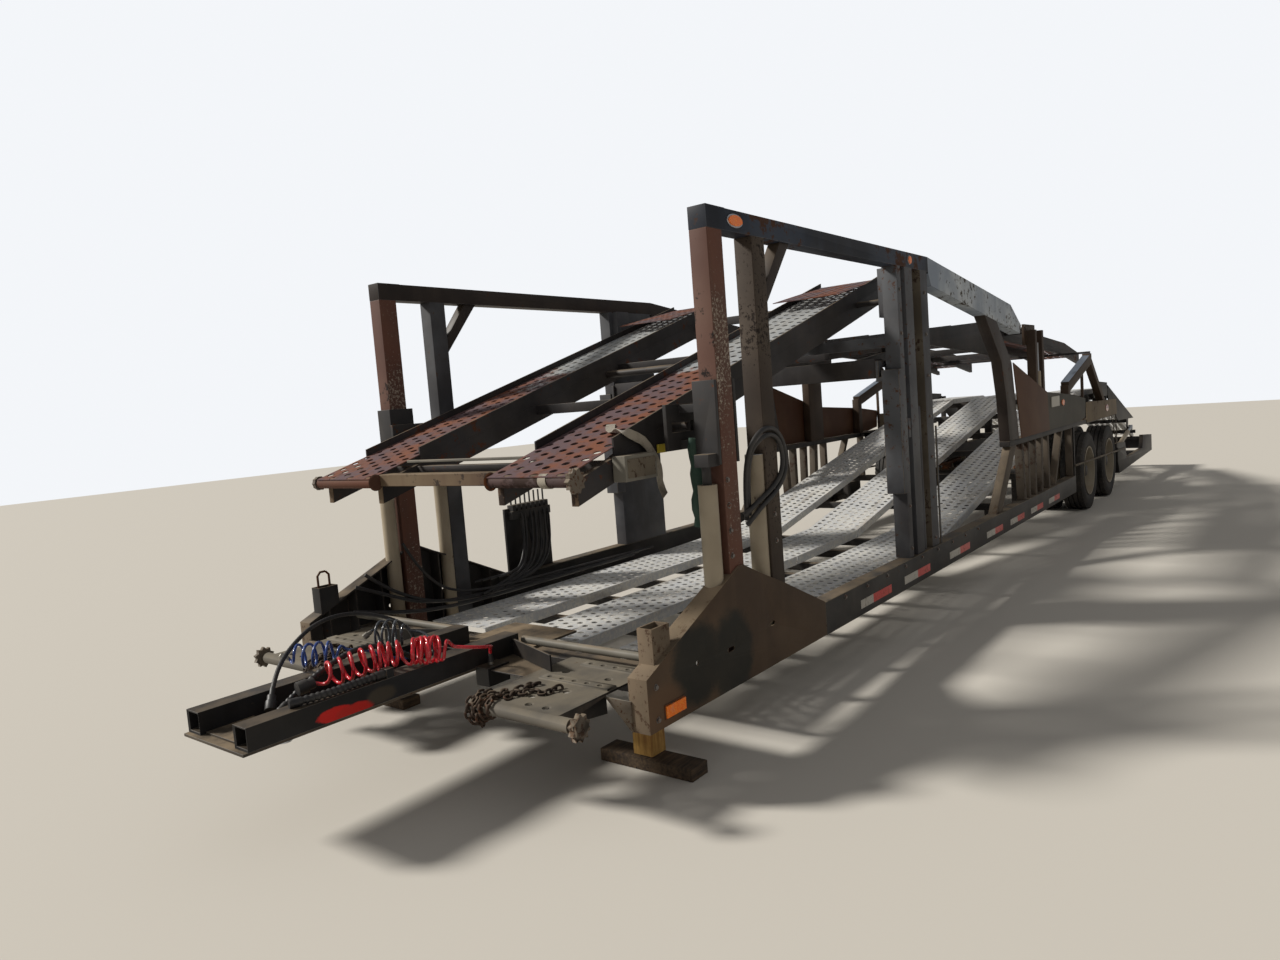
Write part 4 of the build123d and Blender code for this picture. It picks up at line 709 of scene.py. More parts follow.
class Sketch:
    """Vertices and faces of one piece, gathered before its object is made."""

    def __init__(self) -> None:
        """Start with nothing."""
        self.bm = bmesh.new()
        self.finishes: list[Finish] = []

    def _slot(self, finish: Finish) -> int:
        """Material index of a finish."""
        if finish not in self.finishes:
            self.finishes.append(finish)
        return self.finishes.index(finish)

    def add(self, points: Sequence[Sequence[float]], faces: Iterable[Sequence[int]], finish: Finish) -> None:
        """Add a closed shape.

        Args:
            points: Its corners.
            faces: Corner numbers of each face.
            finish: What it is finished in.
        """
        index = self._slot(finish)
        made = [self.bm.verts.new(p) for p in points]
        for corners in faces:
            face = self.bm.faces.new([made[i] for i in corners])
            face.material_index = index

    def loft(self, rings: Sequence[Sequence[Sequence[float]]], finish: Finish, closed: bool = False) -> None:
        """Add a solid through rings of corners.

        Args:
            rings: The rings, each with the same number of corners.
            finish: Its finish.
            closed: Whether the last ring joins the first.
        """
        points = [point for ring in rings for point in ring]
        self.add(points, stitch(len(rings), len(rings[0]), closed), finish)

    def prism(self, outline: Sequence[Pair], y: Pair, finish: Finish) -> None:
        """Add a prism of an X-Z outline between two Y values."""
        self.loft([[(x, side, z) for x, z in outline] for side in y], finish)

    def upright(self, outline: Sequence[Pair], z: Pair, finish: Finish) -> None:
        """Add a prism of an X-Y outline between two heights."""
        self.loft([[(x, y, level) for x, y in outline] for level in z], finish)

    def block(self, x: Pair, y: Pair, z: Pair, finish: Finish) -> None:
        """Add an upright box from its extent along each axis."""
        self.prism([(x[0], z[0]), (x[1], z[0]), (x[1], z[1]), (x[0], z[1])], y, finish)

    def sweep(self, path: Sequence[Point], radii: Sequence[float], finish: Finish, sides: int = 12) -> None:
        """Add a round tube, closed at both ends.

        Args:
            path: Points along its middle.
            radii: Its radius at each point.
            finish: Its finish.
            sides: Corners of its section.
        """
        spine = [Vector(p) for p in path]
        rings = []
        side = None
        for i, centre in enumerate(spine):
            ahead = (spine[min(i + 1, len(spine) - 1)] - spine[max(i - 1, 0)]).normalized()
            if side is None:
                side = ahead.cross(Vector((0, 0, 1)) if abs(ahead.z) < 0.9 else Vector((1, 0, 0))).normalized()
            side = (side - ahead * side.dot(ahead)).normalized()
            across = ahead.cross(side)
            rings.append([centre + (side * math.cos(a) + across * math.sin(a)) * radii[i] for a in turns(sides)])
        self.loft(rings, finish)

    def rod(self, start: Point, end: Point, radius: float, finish: Finish, sides: int = 20) -> None:
        """Add a round bar with eased ends.

        Args:
            start: Middle of one end.
            end: Middle of the other end.
            radius: Its radius.
            finish: Its finish.
            sides: Corners of its section.
        """
        a, b = Vector(start), Vector(end)
        ease = 0.12
        step = (b - a).normalized() * radius * ease
        path = [a, a + step, b - step, b]
        self.sweep(path, [radius * (1 - ease), radius, radius, radius * (1 - ease)], finish, sides)

    def revolve(self, profile: Sequence[Pair], centre: Point, finish: Finish, steps: int) -> None:
        """Add a closed ring about a Y axis.

        Args:
            profile: Its section, as (radius, y) points.
            centre: Point of the axis from which y counts.
            finish: Its finish.
            steps: Sections round the ring.
        """
        cx, cy, cz = centre
        rings = [[(cx + r * math.cos(a), cy + y, cz + r * math.sin(a)) for r, y in profile] for a in turns(steps)]
        self.loft(rings, finish, closed=True)

    def take(self, source: bpy.types.Mesh, finish: Finish) -> None:
        """Add a whole mesh.

        Args:
            source: The mesh.
            finish: Its finish.
        """
        index = self._slot(finish)
        before = len(self.bm.faces)
        self.bm.from_mesh(source)
        self.bm.faces.ensure_lookup_table()
        for face in self.bm.faces[before:]:
            face.material_index = index

    def mesh(self, name: str) -> bpy.types.Mesh:
        """Give what was gathered as a mesh with its faces outward; the sketch ends.

        Args:
            name: The mesh's name.

        Returns:
            The mesh.
        """
        bmesh.ops.recalc_face_normals(self.bm, faces=self.bm.faces)
        made = bpy.data.meshes.new(name)
        self.bm.to_mesh(made)
        self.bm.free()
        return made

    def piece(
        self, name: str, body: str, ease: float = 0.0, smooth: float = 35.0, worn: Finish | None = None
    ) -> bpy.types.Object:
        """Make the object.

        Args:
            name: The piece's name.
            body: The CAD body that it rides on.
            ease: Width of the bevel on its sharp edges, or 0 for none.
            smooth: Edges sharper than this angle stay crisp, in degrees.
            worn: Finish of the bevelled edges, when it differs.

        Returns:
            The finished object, riding on its body.
        """
        finishes = [*self.finishes, worn] if worn else self.finishes
        made = set_out(name, self.mesh(name), finishes, smooth, body)
        if ease:
            bevel = made.modifiers.new("eased", "BEVEL")
            bevel.width = ease
            bevel.segments = 2
            bevel.limit_method = "ANGLE"
            bevel.angle_limit = CREASE
            if worn:
                bevel.material = len(finishes) - 1
        return made


# Geometry Nodes
class NodeTree:
    """A Geometry Nodes tree with named inputs that is applied to an object once."""

    def __init__(self, name: str, inputs: Sequence[tuple[str, str]]) -> None:
        """Start a tree.

        Args:
            name: The tree's name.
            inputs: Name and type of each input after the geometry.
        """
        self.tree = bpy.data.node_groups.new(name, "GeometryNodeTree")
        face = self.tree.interface
        face.new_socket("Geometry", in_out="INPUT", socket_type="NodeSocketGeometry")
        self.sockets = {
            label: face.new_socket(label, in_out="INPUT", socket_type=f"NodeSocket{kind}").identifier
            for label, kind in inputs
        }
        face.new_socket("Geometry", in_out="OUTPUT", socket_type="NodeSocketGeometry")
        self.entry = self.tree.nodes.new("NodeGroupInput")
        self.exit = self.tree.nodes.new("NodeGroupOutput")

    def node(self, kind: str, settings: dict, sockets: dict) -> bpy.types.Node:
        """Add a node.

        Args:
            kind: The node's type.
            settings: Its properties, set first.
            sockets: Values, or output sockets to link, by input name or place.

        Returns:
            The node.
        """
        made = self.tree.nodes.new(kind)
        for name, value in settings.items():
            setattr(made, name, value)
        for key, value in sockets.items():
            if isinstance(value, bpy.types.NodeSocket):
                self.tree.links.new(value, made.inputs[key])
            else:
                made.inputs[key].default_value = value
        return made

    def given(self, label: str) -> bpy.types.NodeSocket:
        """The group input of that name."""
        return self.entry.outputs[label]

    def end(self, geometry: bpy.types.NodeSocket, finish: bpy.types.NodeSocket) -> None:
        """Realise the instances, set the finish and close the tree."""
        solid = self.node("GeometryNodeRealizeInstances", {}, {0: geometry})
        dressed = self.node("GeometryNodeSetMaterial", {}, {"Geometry": solid.outputs[0], "Material": finish})
        self.tree.links.new(dressed.outputs[0], self.exit.inputs[0])

    def run(self, source: bpy.types.Mesh, values: dict) -> bpy.types.Mesh:
        """Evaluate the tree on a mesh.

        Args:
            source: The mesh that it starts from.
            values: Input values by name.

        Returns:
            The result as a plain mesh.
        """
        holder = bpy.data.objects.new("holder", source)
        bpy.context.scene.collection.objects.link(holder)
        modifier = holder.modifiers.new("nodes", "NODES")
        modifier.node_group = self.tree
        for label, value in values.items():
            modifier[self.sockets[label]] = value
        bpy.context.view_layer.update()
        evaluated = holder.evaluated_get(bpy.context.evaluated_depsgraph_get())
        made = bpy.data.meshes.new_from_object(evaluated)
        holder.modifiers.remove(modifier)
        bpy.data.objects.remove(holder)
        return made


class Repeater:
    """Sets copies of one small shape on points that carry a facing and a roll."""

    def __init__(self) -> None:
        """Build the tree."""
        self.nodes = NodeTree("set_on_points", [("Shape", "Object"), ("Finish", "Material")])
        nodes = self.nodes
        points = nodes.node("GeometryNodeMeshToPoints", {}, {"Mesh": nodes.given("Geometry")})
        facing = nodes.node("GeometryNodeInputNamedAttribute", {"data_type": "FLOAT_VECTOR"}, {"Name": "facing"})
        roll = nodes.node("GeometryNodeInputNamedAttribute", {"data_type": "FLOAT"}, {"Name": "roll"})
        spin = nodes.node("ShaderNodeCombineXYZ", {}, {"Z": roll.outputs[0]})
        aim = nodes.node("FunctionNodeAlignEulerToVector", {"axis": "Z"}, {"Vector": facing.outputs[0]})
        turned = nodes.node(
            "FunctionNodeRotateEuler", {"space": "LOCAL"}, {"Rotation": aim.outputs[0], "Rotate By": spin.outputs[0]}
        )
        shape = nodes.node("GeometryNodeObjectInfo", {"transform_space": "ORIGINAL"}, {"Object": nodes.given("Shape")})
        copies = nodes.node(
            "GeometryNodeInstanceOnPoints", {},
            {
                "Points": points.outputs[0], "Instance": shape.outputs["Geometry"],
                "Rotation": turned.outputs[0],
            },
        )
        nodes.end(copies.outputs[0], nodes.given("Finish"))

    def spread(
        self, shape: bpy.types.Mesh, spots: Sequence[tuple[Point, Point, float]], finish: Finish
    ) -> bpy.types.Mesh:
        """Copy a shape.

        Args:
            shape: The shape, its base at the origin and its head along Z.
            spots: Place, facing and roll of each copy.
            finish: Their finish.

        Returns:
            All copies as one mesh.
        """
        seat = bpy.data.meshes.new("seats")
        seat.from_pydata([s[0] for s in spots], [], [])
        seat.attributes.new("facing", "FLOAT_VECTOR", "POINT")
        seat.attributes.new("roll", "FLOAT", "POINT")
        for i, (_, direction, angle) in enumerate(spots):
            seat.attributes["facing"].data[i].vector = direction
            seat.attributes["roll"].data[i].value = angle
        pattern = bpy.data.objects.new("pattern", shape)
        made = self.nodes.run(seat, {"Shape": pattern, "Finish": finish.material()})
        bpy.data.objects.remove(pattern)
        return made


class Perforator:
    """Makes sloped plates with staggered rows of punched openings."""

    PITCH = 0.086  # length of a tile along the plate
    COLUMNS = 3  # tiles across a plate
    THICKNESS = 0.005
    CORNERS = 12  # of an opening
    OPENING = (0.235, 0.135)  # half the length and width of an opening, in tiles

    def __init__(self) -> None:
        """Build the tree and the unit tile."""
        kinds = [
            ("Tile", "Object"), ("Length", "Float"), ("Width", "Float"), ("Rows", "Int"), ("Columns", "Int"),
            ("Thickness", "Float"), ("Slope", "Vector"), ("Foot", "Vector"), ("Finish", "Material"),
        ]
        self.nodes = NodeTree("perforated_plate", kinds)
        nodes = self.nodes
        given = nodes.given

        def maths(operation: str, first: object, second: object) -> bpy.types.NodeSocket:
            """One Math node's result."""
            return nodes.node("ShaderNodeMath", {"operation": operation}, {0: first, 1: second}).outputs[0]

        pitch_x = maths("DIVIDE", given("Length"), given("Rows"))
        pitch_y = maths("DIVIDE", given("Width"), given("Columns"))
        grid = nodes.node(
            "GeometryNodeMeshGrid", {},
            {
                "Size X": maths("SUBTRACT", given("Length"), pitch_x),
                "Size Y": maths("SUBTRACT", given("Width"), pitch_y),
                "Vertices X": given("Rows"), "Vertices Y": given("Columns"),
            },
        )
        points = nodes.node("GeometryNodeMeshToPoints", {}, {"Mesh": grid.outputs[0]})
        tile = nodes.node("GeometryNodeObjectInfo", {"transform_space": "ORIGINAL"}, {"Object": given("Tile")})
        scale = nodes.node("ShaderNodeCombineXYZ", {}, {"X": pitch_x, "Y": pitch_y, "Z": 1.0})
        copies = nodes.node(
            "GeometryNodeInstanceOnPoints", {},
            {"Points": points.outputs[0], "Instance": tile.outputs["Geometry"], "Scale": scale.outputs[0]},
        )
        sheet = nodes.node("GeometryNodeRealizeInstances", {}, {0: copies.outputs[0]})
        welded = nodes.node("GeometryNodeMergeByDistance", {}, {"Geometry": sheet.outputs[0], "Distance": 0.0006})
        down = nodes.node("ShaderNodeCombineXYZ", {}, {"Z": maths("MULTIPLY", given("Thickness"), -1.0)})
        walls = nodes.node(
            "GeometryNodeExtrudeMesh", {"mode": "FACES"},
            {"Mesh": welded.outputs[0], "Offset": down.outputs[0], "Offset Scale": 1.0, "Individual": False},
        )
        both = nodes.tree.nodes.new("GeometryNodeJoinGeometry")
        nodes.tree.links.new(welded.outputs[0], both.inputs[0])
        nodes.tree.links.new(walls.outputs[0], both.inputs[0])
        closed = nodes.node("GeometryNodeMergeByDistance", {}, {"Geometry": both.outputs[0], "Distance": 0.0003})
        laid = nodes.node(
            "GeometryNodeTransform", {},
            {"Geometry": closed.outputs[0], "Translation": given("Foot"), "Rotation": given("Slope")},
        )
        nodes.end(laid.outputs[0], given("Finish"))
        self.tile = self._tile()

    def _tile(self) -> bpy.types.Mesh:
        """Unit tile of two plain quarters and two with a round opening, set corner to corner.

        Returns:
            The tile.
        """
        bm = bmesh.new()
        for qx, qy in ((-0.5, -0.5), (0.0, -0.5), (-0.5, 0.0), (0.0, 0.0)):
            square = ((qx, qy), (qx + 0.5, qy), (qx + 0.5, qy + 0.5), (qx, qy + 0.5))
            rim = [bm.verts.new((x, y, 0.0)) for x, y in square]
            if (qx < 0) != (qy < 0):
                bm.faces.new(rim)
                continue
            x, y = qx + 0.25, qy + 0.25
            long, wide = self.OPENING
            angles = turns(self.CORNERS, math.radians(-135))
            ring = [bm.verts.new((x + long * math.cos(a), y + wide * math.sin(a), 0.0)) for a in angles]
            quarter = self.CORNERS // 4
            for side in range(4):
                start = side * quarter
                arc = [ring[(start + i) % self.CORNERS] for i in range(quarter + 1)]
                bm.faces.new([rim[side], rim[(side + 1) % 4], *reversed(arc)])
        bmesh.ops.remove_doubles(bm, verts=bm.verts, dist=1e-5)
        bmesh.ops.triangulate(bm, faces=bm.faces)
        mesh = bpy.data.meshes.new("tile")
        bm.to_mesh(mesh)
        bm.free()
        return mesh

    def plate(self, rear: Pair, front: Pair, band: Pair, finish: Finish) -> bpy.types.Mesh:
        """Make one plate.

        Args:
            rear: X and Z of its rear edge.
            front: X and Z of its front edge.
            band: Its two Y edges.
            finish: Its finish.

        Returns:
            The plate as a mesh in place.
        """
        run = math.hypot(front[0] - rear[0], front[1] - rear[1])
        slope = math.atan2(front[1] - rear[1], front[0] - rear[0])
        middle = ((front[0] + rear[0]) / 2, sum(band) / 2, (front[1] + rear[1]) / 2)
        tile = bpy.data.objects.new("tile", self.tile)
        values = {
            "Tile": tile, "Length": run, "Width": band[1] - band[0], "Rows": round(run / self.PITCH),
            "Columns": self.COLUMNS, "Thickness": self.THICKNESS, "Slope": (0.0, -slope, 0.0), "Foot": middle,
            "Finish": finish.material(),
        }
        made = self.nodes.run(bpy.data.meshes.new("start"), values)
        bpy.data.objects.remove(tile)
        return made


# Studio
@dataclass
class Studio:
    """Camera at the photograph's viewpoint, plain floor, low sun and a soft surround."""

    eye: Point = (2.7136 + FORE, 3.4787, 1.673)
    azimuth: float = 218.2056
    elevation: float = -4.9543
    roll: float = 4.4039
    lens: float = 24.504
    sensor: float = 36.0
    floor_size: float = 60.0
    floor_middle: Point = (-2.0, 0.0, 0.0)
    floor_colour: Colour = tone(204, 199, 190)
    sun_strength: float = 3.9
    sun_width: float = 9.0
    sun_from: Point = (0.42, -0.72, 0.62)
    sun_colour: Colour = (1.0, 0.965, 0.9)
    backdrop: Colour = (0.9, 0.92, 0.95)
    fill: Colour = (0.97, 0.96, 0.95)
    fill_strength: float = 0.27

    def camera(self) -> None:
        """Set the camera from its azimuth, elevation and roll."""
        az, el, roll = (math.radians(v) for v in (self.azimuth, self.elevation, self.roll))
        ahead = Vector((math.cos(el) * math.cos(az), math.cos(el) * math.sin(az), math.sin(el)))
        right = ahead.cross(Vector((0, 0, 1))).normalized()
        down = ahead.cross(right)
        across = right * math.cos(roll) + down * math.sin(roll)
        up = right * math.sin(roll) - down * math.cos(roll)
        data = bpy.data.cameras.new("camera")
        data.lens = self.lens
        data.sensor_width = self.sensor
        data.sensor_fit = "HORIZONTAL"
        data.clip_end = 200.0
        made = bpy.data.objects.new("camera", data)
        basis = Matrix((across, up, -ahead)).transposed().to_4x4()
        made.matrix_world = Matrix.Translation(self.eye) @ basis
        bpy.context.scene.collection.objects.link(made)
        bpy.context.scene.camera = made

    def floor(self) -> None:
        """Lay the plain floor."""
        bpy.ops.mesh.primitive_plane_add(size=self.floor_size, location=self.floor_middle)
        made = bpy.context.object
        made.name = "floor"
        shading = Shading("floor")
        shading.set(Base_Color=self.floor_colour, Roughness=0.95)
        made.data.materials.append(shading.material)

    def sun(self) -> None:
        """Hang the sun."""
        sun = bpy.data.lights.new("sun", "SUN")
        sun.energy = self.sun_strength
        sun.angle = math.radians(self.sun_width)
        sun.color = self.sun_colour
        made = bpy.data.objects.new("sun", sun)
        made.rotation_euler = Vector(self.sun_from).to_track_quat("Z", "Y").to_euler()
        bpy.context.scene.collection.objects.link(made)

    def surround(self) -> None:
        """Light the shade from all round, with a paler backdrop for the camera alone."""
        world = bpy.data.worlds.new("surround")
        bpy.context.scene.world = world
        world.use_nodes = True
        nodes, links = world.node_tree.nodes, world.node_tree.links
        nodes.clear()
        blend, output = nodes.new("ShaderNodeMixShader"), nodes.new("ShaderNodeOutputWorld")
        for place, (colour, strength) in enumerate(((self.fill, self.fill_strength), (self.backdrop, 1.0)), 1):
            light = nodes.new("ShaderNodeBackground")
            light.inputs[0].default_value = (*colour, 1.0)
            light.inputs[1].default_value = strength
            links.new(light.outputs[0], blend.inputs[place])
        links.new(nodes.new("ShaderNodeLightPath").outputs["Is Camera Ray"], blend.inputs[0])
        links.new(blend.outputs[0], output.inputs[0])

    def build(self) -> None:
        """Set everything up."""
        bpy.context.scene.view_settings.view_transform = "Standard"
        self.camera()
        self.floor()
        self.sun()
        self.surround()


# Air lines, cable and hoses on the tongue
def spline(name: str, points: Sequence[Point], thickness: float = 0.0) -> bpy.types.Object:
    """Make a curve of one open smooth spline.

    Args:
        name: The curve's name.
        points: Its control points.
        thickness: Its radius, or 0 for a bare line.

    Returns:
        The curve's object.
    """
    data = bpy.data.curves.new(name, "CURVE")
    data.dimensions = "3D"
    data.bevel_depth = thickness
    data.bevel_resolution = 3
    data.resolution_u = 6
    data.use_fill_caps = True
    line = data.splines.new("NURBS")
    line.points.add(len(points) - 1)
    for control, point in zip(line.points, points):
        control.co = (*point, 1.0)
    line.order_u = 3
    line.use_endpoint_u = True
    made = bpy.data.objects.new(name, data)
    bpy.context.scene.collection.objects.link(made)
    return made


def follow(points: Sequence[Point]) -> list[Vector]:
    """Points along a route's smooth spline.

    Args:
        points: Points of the route.

    Returns:
        Points along the spline.
    """
    guide = spline("guide", points)
    guide.data.resolution_u = 24
    bpy.context.view_layer.update()
    evaluated = guide.evaluated_get(bpy.context.evaluated_depsgraph_get())
    mesh = bpy.data.meshes.new_from_object(evaluated)
    found = [v.co.copy() for v in mesh.vertices]
    bpy.data.meshes.remove(mesh)
    bpy.data.objects.remove(guide)
    return found


def run_length(points: Sequence[Vector]) -> float:
    """Length of a run of points."""
    return sum((b - a).length for a, b in zip(points, points[1:]))


def resample(points: Sequence[Vector], gap: float) -> list[Vector]:
    """Space points evenly along a run.

    Args:
        points: The run.
        gap: The spacing that is wanted; the one used divides the run's length.

    Returns:
        The new points, with both ends.
    """
    total = run_length(points)
    count = max(2, round(total / gap))
    out, walked, i = [points[0].copy()], 0.0, 0
    for k in range(1, count):
        target = total * k / count
        while walked + (points[i + 1] - points[i]).length < target:
            walked += (points[i + 1] - points[i]).length
            i += 1
        share = (target - walked) / (points[i + 1] - points[i]).length
        out.append(points[i].lerp(points[i + 1], share))
    return [*out, points[-1].copy()]


@dataclass
class CurlyLine:
    """An air line: a lead from its gland, then loose turns, then its coupling."""

    name: str
    nodes: tuple[str, ...]
    lead: Route
    coil: Route
    groups: tuple[Point, ...]  # shares of the coil's run where turns begin and end, and their number
    finish: Finish
    radius: float
    thickness: float
    coupling_node: str | None = None
    draw_in: float = 0.06
    tangle: float = 0.12
    tangled_to: float = 0.0
    samples: int = 16
    guide_gap: float = 0.002
    seek: float = 0.0005

    def wound(self, share: float) -> float:
        """Turns wound by a share of the coil's run."""
        return sum(count * min(1.0, max(0.0, (share - start) / (end - start))) for start, end, count in self.groups)

    def helix(self) -> list[Point]:
        """Points of the turns, of uneven size and spacing, drawn in to the axis at both ends.

        Returns:
            The points.
        """
        dense = resample(follow(self.coil), self.guide_gap)
        whole = self.wound(1.0)
        steps = int(whole * self.samples)
        last = len(dense) - 1
        out = []
        share = 0.0
        for k in range(steps + 1):
            goal = whole * k / steps
            while share < 1.0 and self.wound(share) < goal:
                share += self.seek
            place = min(share, 1.0) * last
            i = min(int(place), last - 1)
            centre = dense[i].lerp(dense[i + 1], place - i)
            ahead = (dense[min(i + 6, last)] - dense[max(i - 6, 0)]).normalized()
            side = ahead.cross(Vector((0, 0, 1))).normalized()
            up = side.cross(ahead)
            ends = min(1.0, min(place, last - place) * self.guide_gap / self.draw_in)
            swell = 1.0 - 0.04 * (1 + math.sin(goal * 2.3)) - 0.03 * (1 + math.sin(goal * 0.9 + 1.0))
            reach = self.radius * (0.12 + 0.88 * ends * ends * (3 - 2 * ends)) * swell
            angle = 2 * math.pi * goal
            loose = self.tangle if share < self.tangled_to else 0.12
            lean = loose * math.sin(goal * 1.7) * reach
            point = centre + side * math.cos(angle) * reach + up * math.sin(angle) * reach
            out.append(tuple(point + ahead * lean * math.cos(angle)))
        return out

    def build(self, dressed: dict[str, bpy.types.Object]) -> None:
        """Args:
            dressed: The dressed CAD pieces by node.
        """
        route = [*self.lead, *self.helix()]
        made = spline(self.name, route, self.thickness)
        made.data.materials.append(self.finish.material())
        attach(made, "chassis")
        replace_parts(made, *self.nodes)
        line = follow(route)
        relief = self.relief(line)
        coupling = dressed[self.coupling_node] if self.coupling_node else self.coupling(line)
        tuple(route[0])
        round(run_length(line), 2)
        2 * self.thickness
        LOG.info("%s is %.2f m long", self.name, run_length(line))

    def relief(self, line: Sequence[Vector]) -> bpy.types.Object:
        """Tapered sleeve where the line leaves its gland.

        Args:
            line: Points along the line.

        Returns:
            The sleeve.
        """
        sketch = Sketch()
        path = resample(line[:60], 0.006)[:8]
        sketch.sweep(path, [self.thickness * (1.9 - 0.12 * i) for i in range(len(path))], HOSE_RUBBER, 14)
        return sketch.piece(f"{self.name}_relief", "chassis")

    def coupling(self, line: Sequence[Vector]) -> bpy.types.Object:
        """Hand coupling on the line's free end.

        Args:
            line: Points along the line.

        Returns:
            The coupling.
        """
        end, ahead = line[-1], (line[-1] - line[-4]).normalized()
        sketch = Sketch()
        path = [end - ahead * 0.012 + ahead * s for s in (0.0, 0.008, 0.02, 0.022, 0.045, 0.05)]
        sketch.sweep(path, [0.009, 0.0115, 0.0115, 0.016, 0.016, 0.011], COUPLING_METAL, 6)
        return sketch.piece(f"{self.name}_coupling", "chassis", 0.001)


@dataclass
class RibbedHose:
    """A stiff cable or hose of one thickness, ribbed by its spiral guard."""

    name: str
    node: str
    route: Route
    radius: float
    rib_pitch: float
    rib_height: float
    plug_node: str | None = None
    sunken: tuple[bool, ...] = (True, False, False, True)

    def build(self, dressed: dict[str, bpy.types.Object]) -> None:
        """Args:
            dressed: The dressed CAD pieces by node.
        """
        path = resample(follow(self.route), self.rib_pitch / len(self.sunken))
        radii = [self.radius - self.rib_height * self.sunken[i % len(self.sunken)] for i in range(len(path))]
        sketch = Sketch()
        sketch.sweep(path, radii, HOSE_RUBBER, 14)
        made = sketch.piece(self.name, "chassis", 0.0, 50.0)
        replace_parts(made, self.node)
        pieces = [self.collar(path, "near"), self.collar(path[::-1], "far")]
        if self.plug_node:
            pieces.append(dressed[self.plug_node])
        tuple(self.route[0])
        round(run_length(path), 2)
        2 * self.radius
        [tuple(p) for p in path]
        LOG.info("%s is %.2f m long", self.name, run_length(path))

    def collar(self, path: Sequence[Vector], end: str) -> bpy.types.Object:
        """Make the crimped collar over one end of the hose.

        Args:
            path: The hose's points, from that end.
            end: The end's name in the piece's name.

        Returns:
            The collar.
        """
        ahead = (path[1] - path[0]).normalized()
        start = path[0] - ahead * (0.002 if end == "far" else -0.001)
        sketch = Sketch()
        spots = [start + ahead * s for s in (0.0, 0.004, 0.012, 0.016, 0.03, 0.034, 0.045)]
        grow = (1.04, 1.12, 1.12, 1.06, 1.1, 1.1, 1.0)
        sketch.sweep(spots, [self.radius * g for g in grow], HOSE_RUBBER, 18)
        return sketch.piece(f"{self.name}_collar_{end}", "chassis")


@dataclass
class TongueLines:
    """All free lines that lie on the tongue."""

    red_lead: Route = stations((-60, 290, 488.3), (-60, 290, 560), (5, 385, 590), (100, 400, 612))
    red_coil: Route = stations((180, 330, 626), (340, 190, 636), (520, 85, 630), (735, 55, 592))
    blue_lead: Route = stations((28.3, -100, 500), (140, -100, 500), (270, -92, 560), (371, -90, 618))
    blue_coil: Route = stations((440, -125, 630), (555, -205, 634), (640, -320, 626))
    black_lead: Route = stations((60, 20, 481.3), (60, 20, 590), (66, -52, 632))
    black_coil: Route = stations((100, -105, 636), (225, -265, 636))
    loop: Route = stations(
        (-60, -290, 488.3), (-60, -290, 575), (10, -380, 660), (170, -490, 718),
        (400, -445, 726), (642, -290, 674), (795, -158, 608), (850, -95, 545),
    )
    front_hose: Route = stations(
        (28.3, -40, 505), (120, -40, 505), (225, -30, 575), (370, -45, 650),
        (532, -25, 645), (690, -25, 590), (800, -27, 530), (865, -17, 494),
    )
    rail_hose: Route = stations((495.3, 216, 579), (620, 216, 579), (745, 223, 579.5), (850, 213, 580), (930, 190, 579))

    def build(self, dressed: dict[str, bpy.types.Object]) -> None:
        """Make every line.

        Args:
            dressed: The dressed CAD pieces by node, with the couplings among them.
        """
        lines = (
            CurlyLine(
                "red_air_line", ("red_coil", "red_lead"), self.red_lead, self.red_coil,
                (
                    (0.0, 0.1, 0.5), (0.1, 0.30, 7.0), (0.30, 0.40, 0.7),
                    (0.40, 0.60, 3.5), (0.60, 0.88, 3.6), (0.88, 1.0, 0.5),
                ),
                COIL_RED, 0.061, 0.0080, coupling_node="red_coupling", tangle=0.38, tangled_to=0.36,
            ),
            CurlyLine(
                "blue_air_line", ("blue_coil", "blue_lead"), self.blue_lead, self.blue_coil,
                ((0.0, 0.18, 0.5), (0.18, 0.84, 4.0), (0.84, 1.0, 0.4)), COIL_BLUE, 0.057, 0.0068,
            ),
            CurlyLine(
                "black_air_line", ("black_coil", "black_lead"), self.black_lead, self.black_coil,
                ((0.0, 0.16, 0.4), (0.16, 0.84, 3.5), (0.84, 1.0, 0.4)), COIL_BLACK, 0.068, 0.0068,
                draw_in=0.04, tangle=0.16, tangled_to=1.0,
            ),
            RibbedHose("power_cable", "loop_cable", self.loop, 0.0105, 0.021, 0.0007, "loop_plug"),
            RibbedHose("spiral_hose", "front_hose", self.front_hose, 0.0145, 0.022, 0.0026),
            RibbedHose("guarded_hose", "rail_hose", self.rail_hose, 0.018, 0.024, 0.0035),
        )
        for line in lines:
            line.build(dressed)


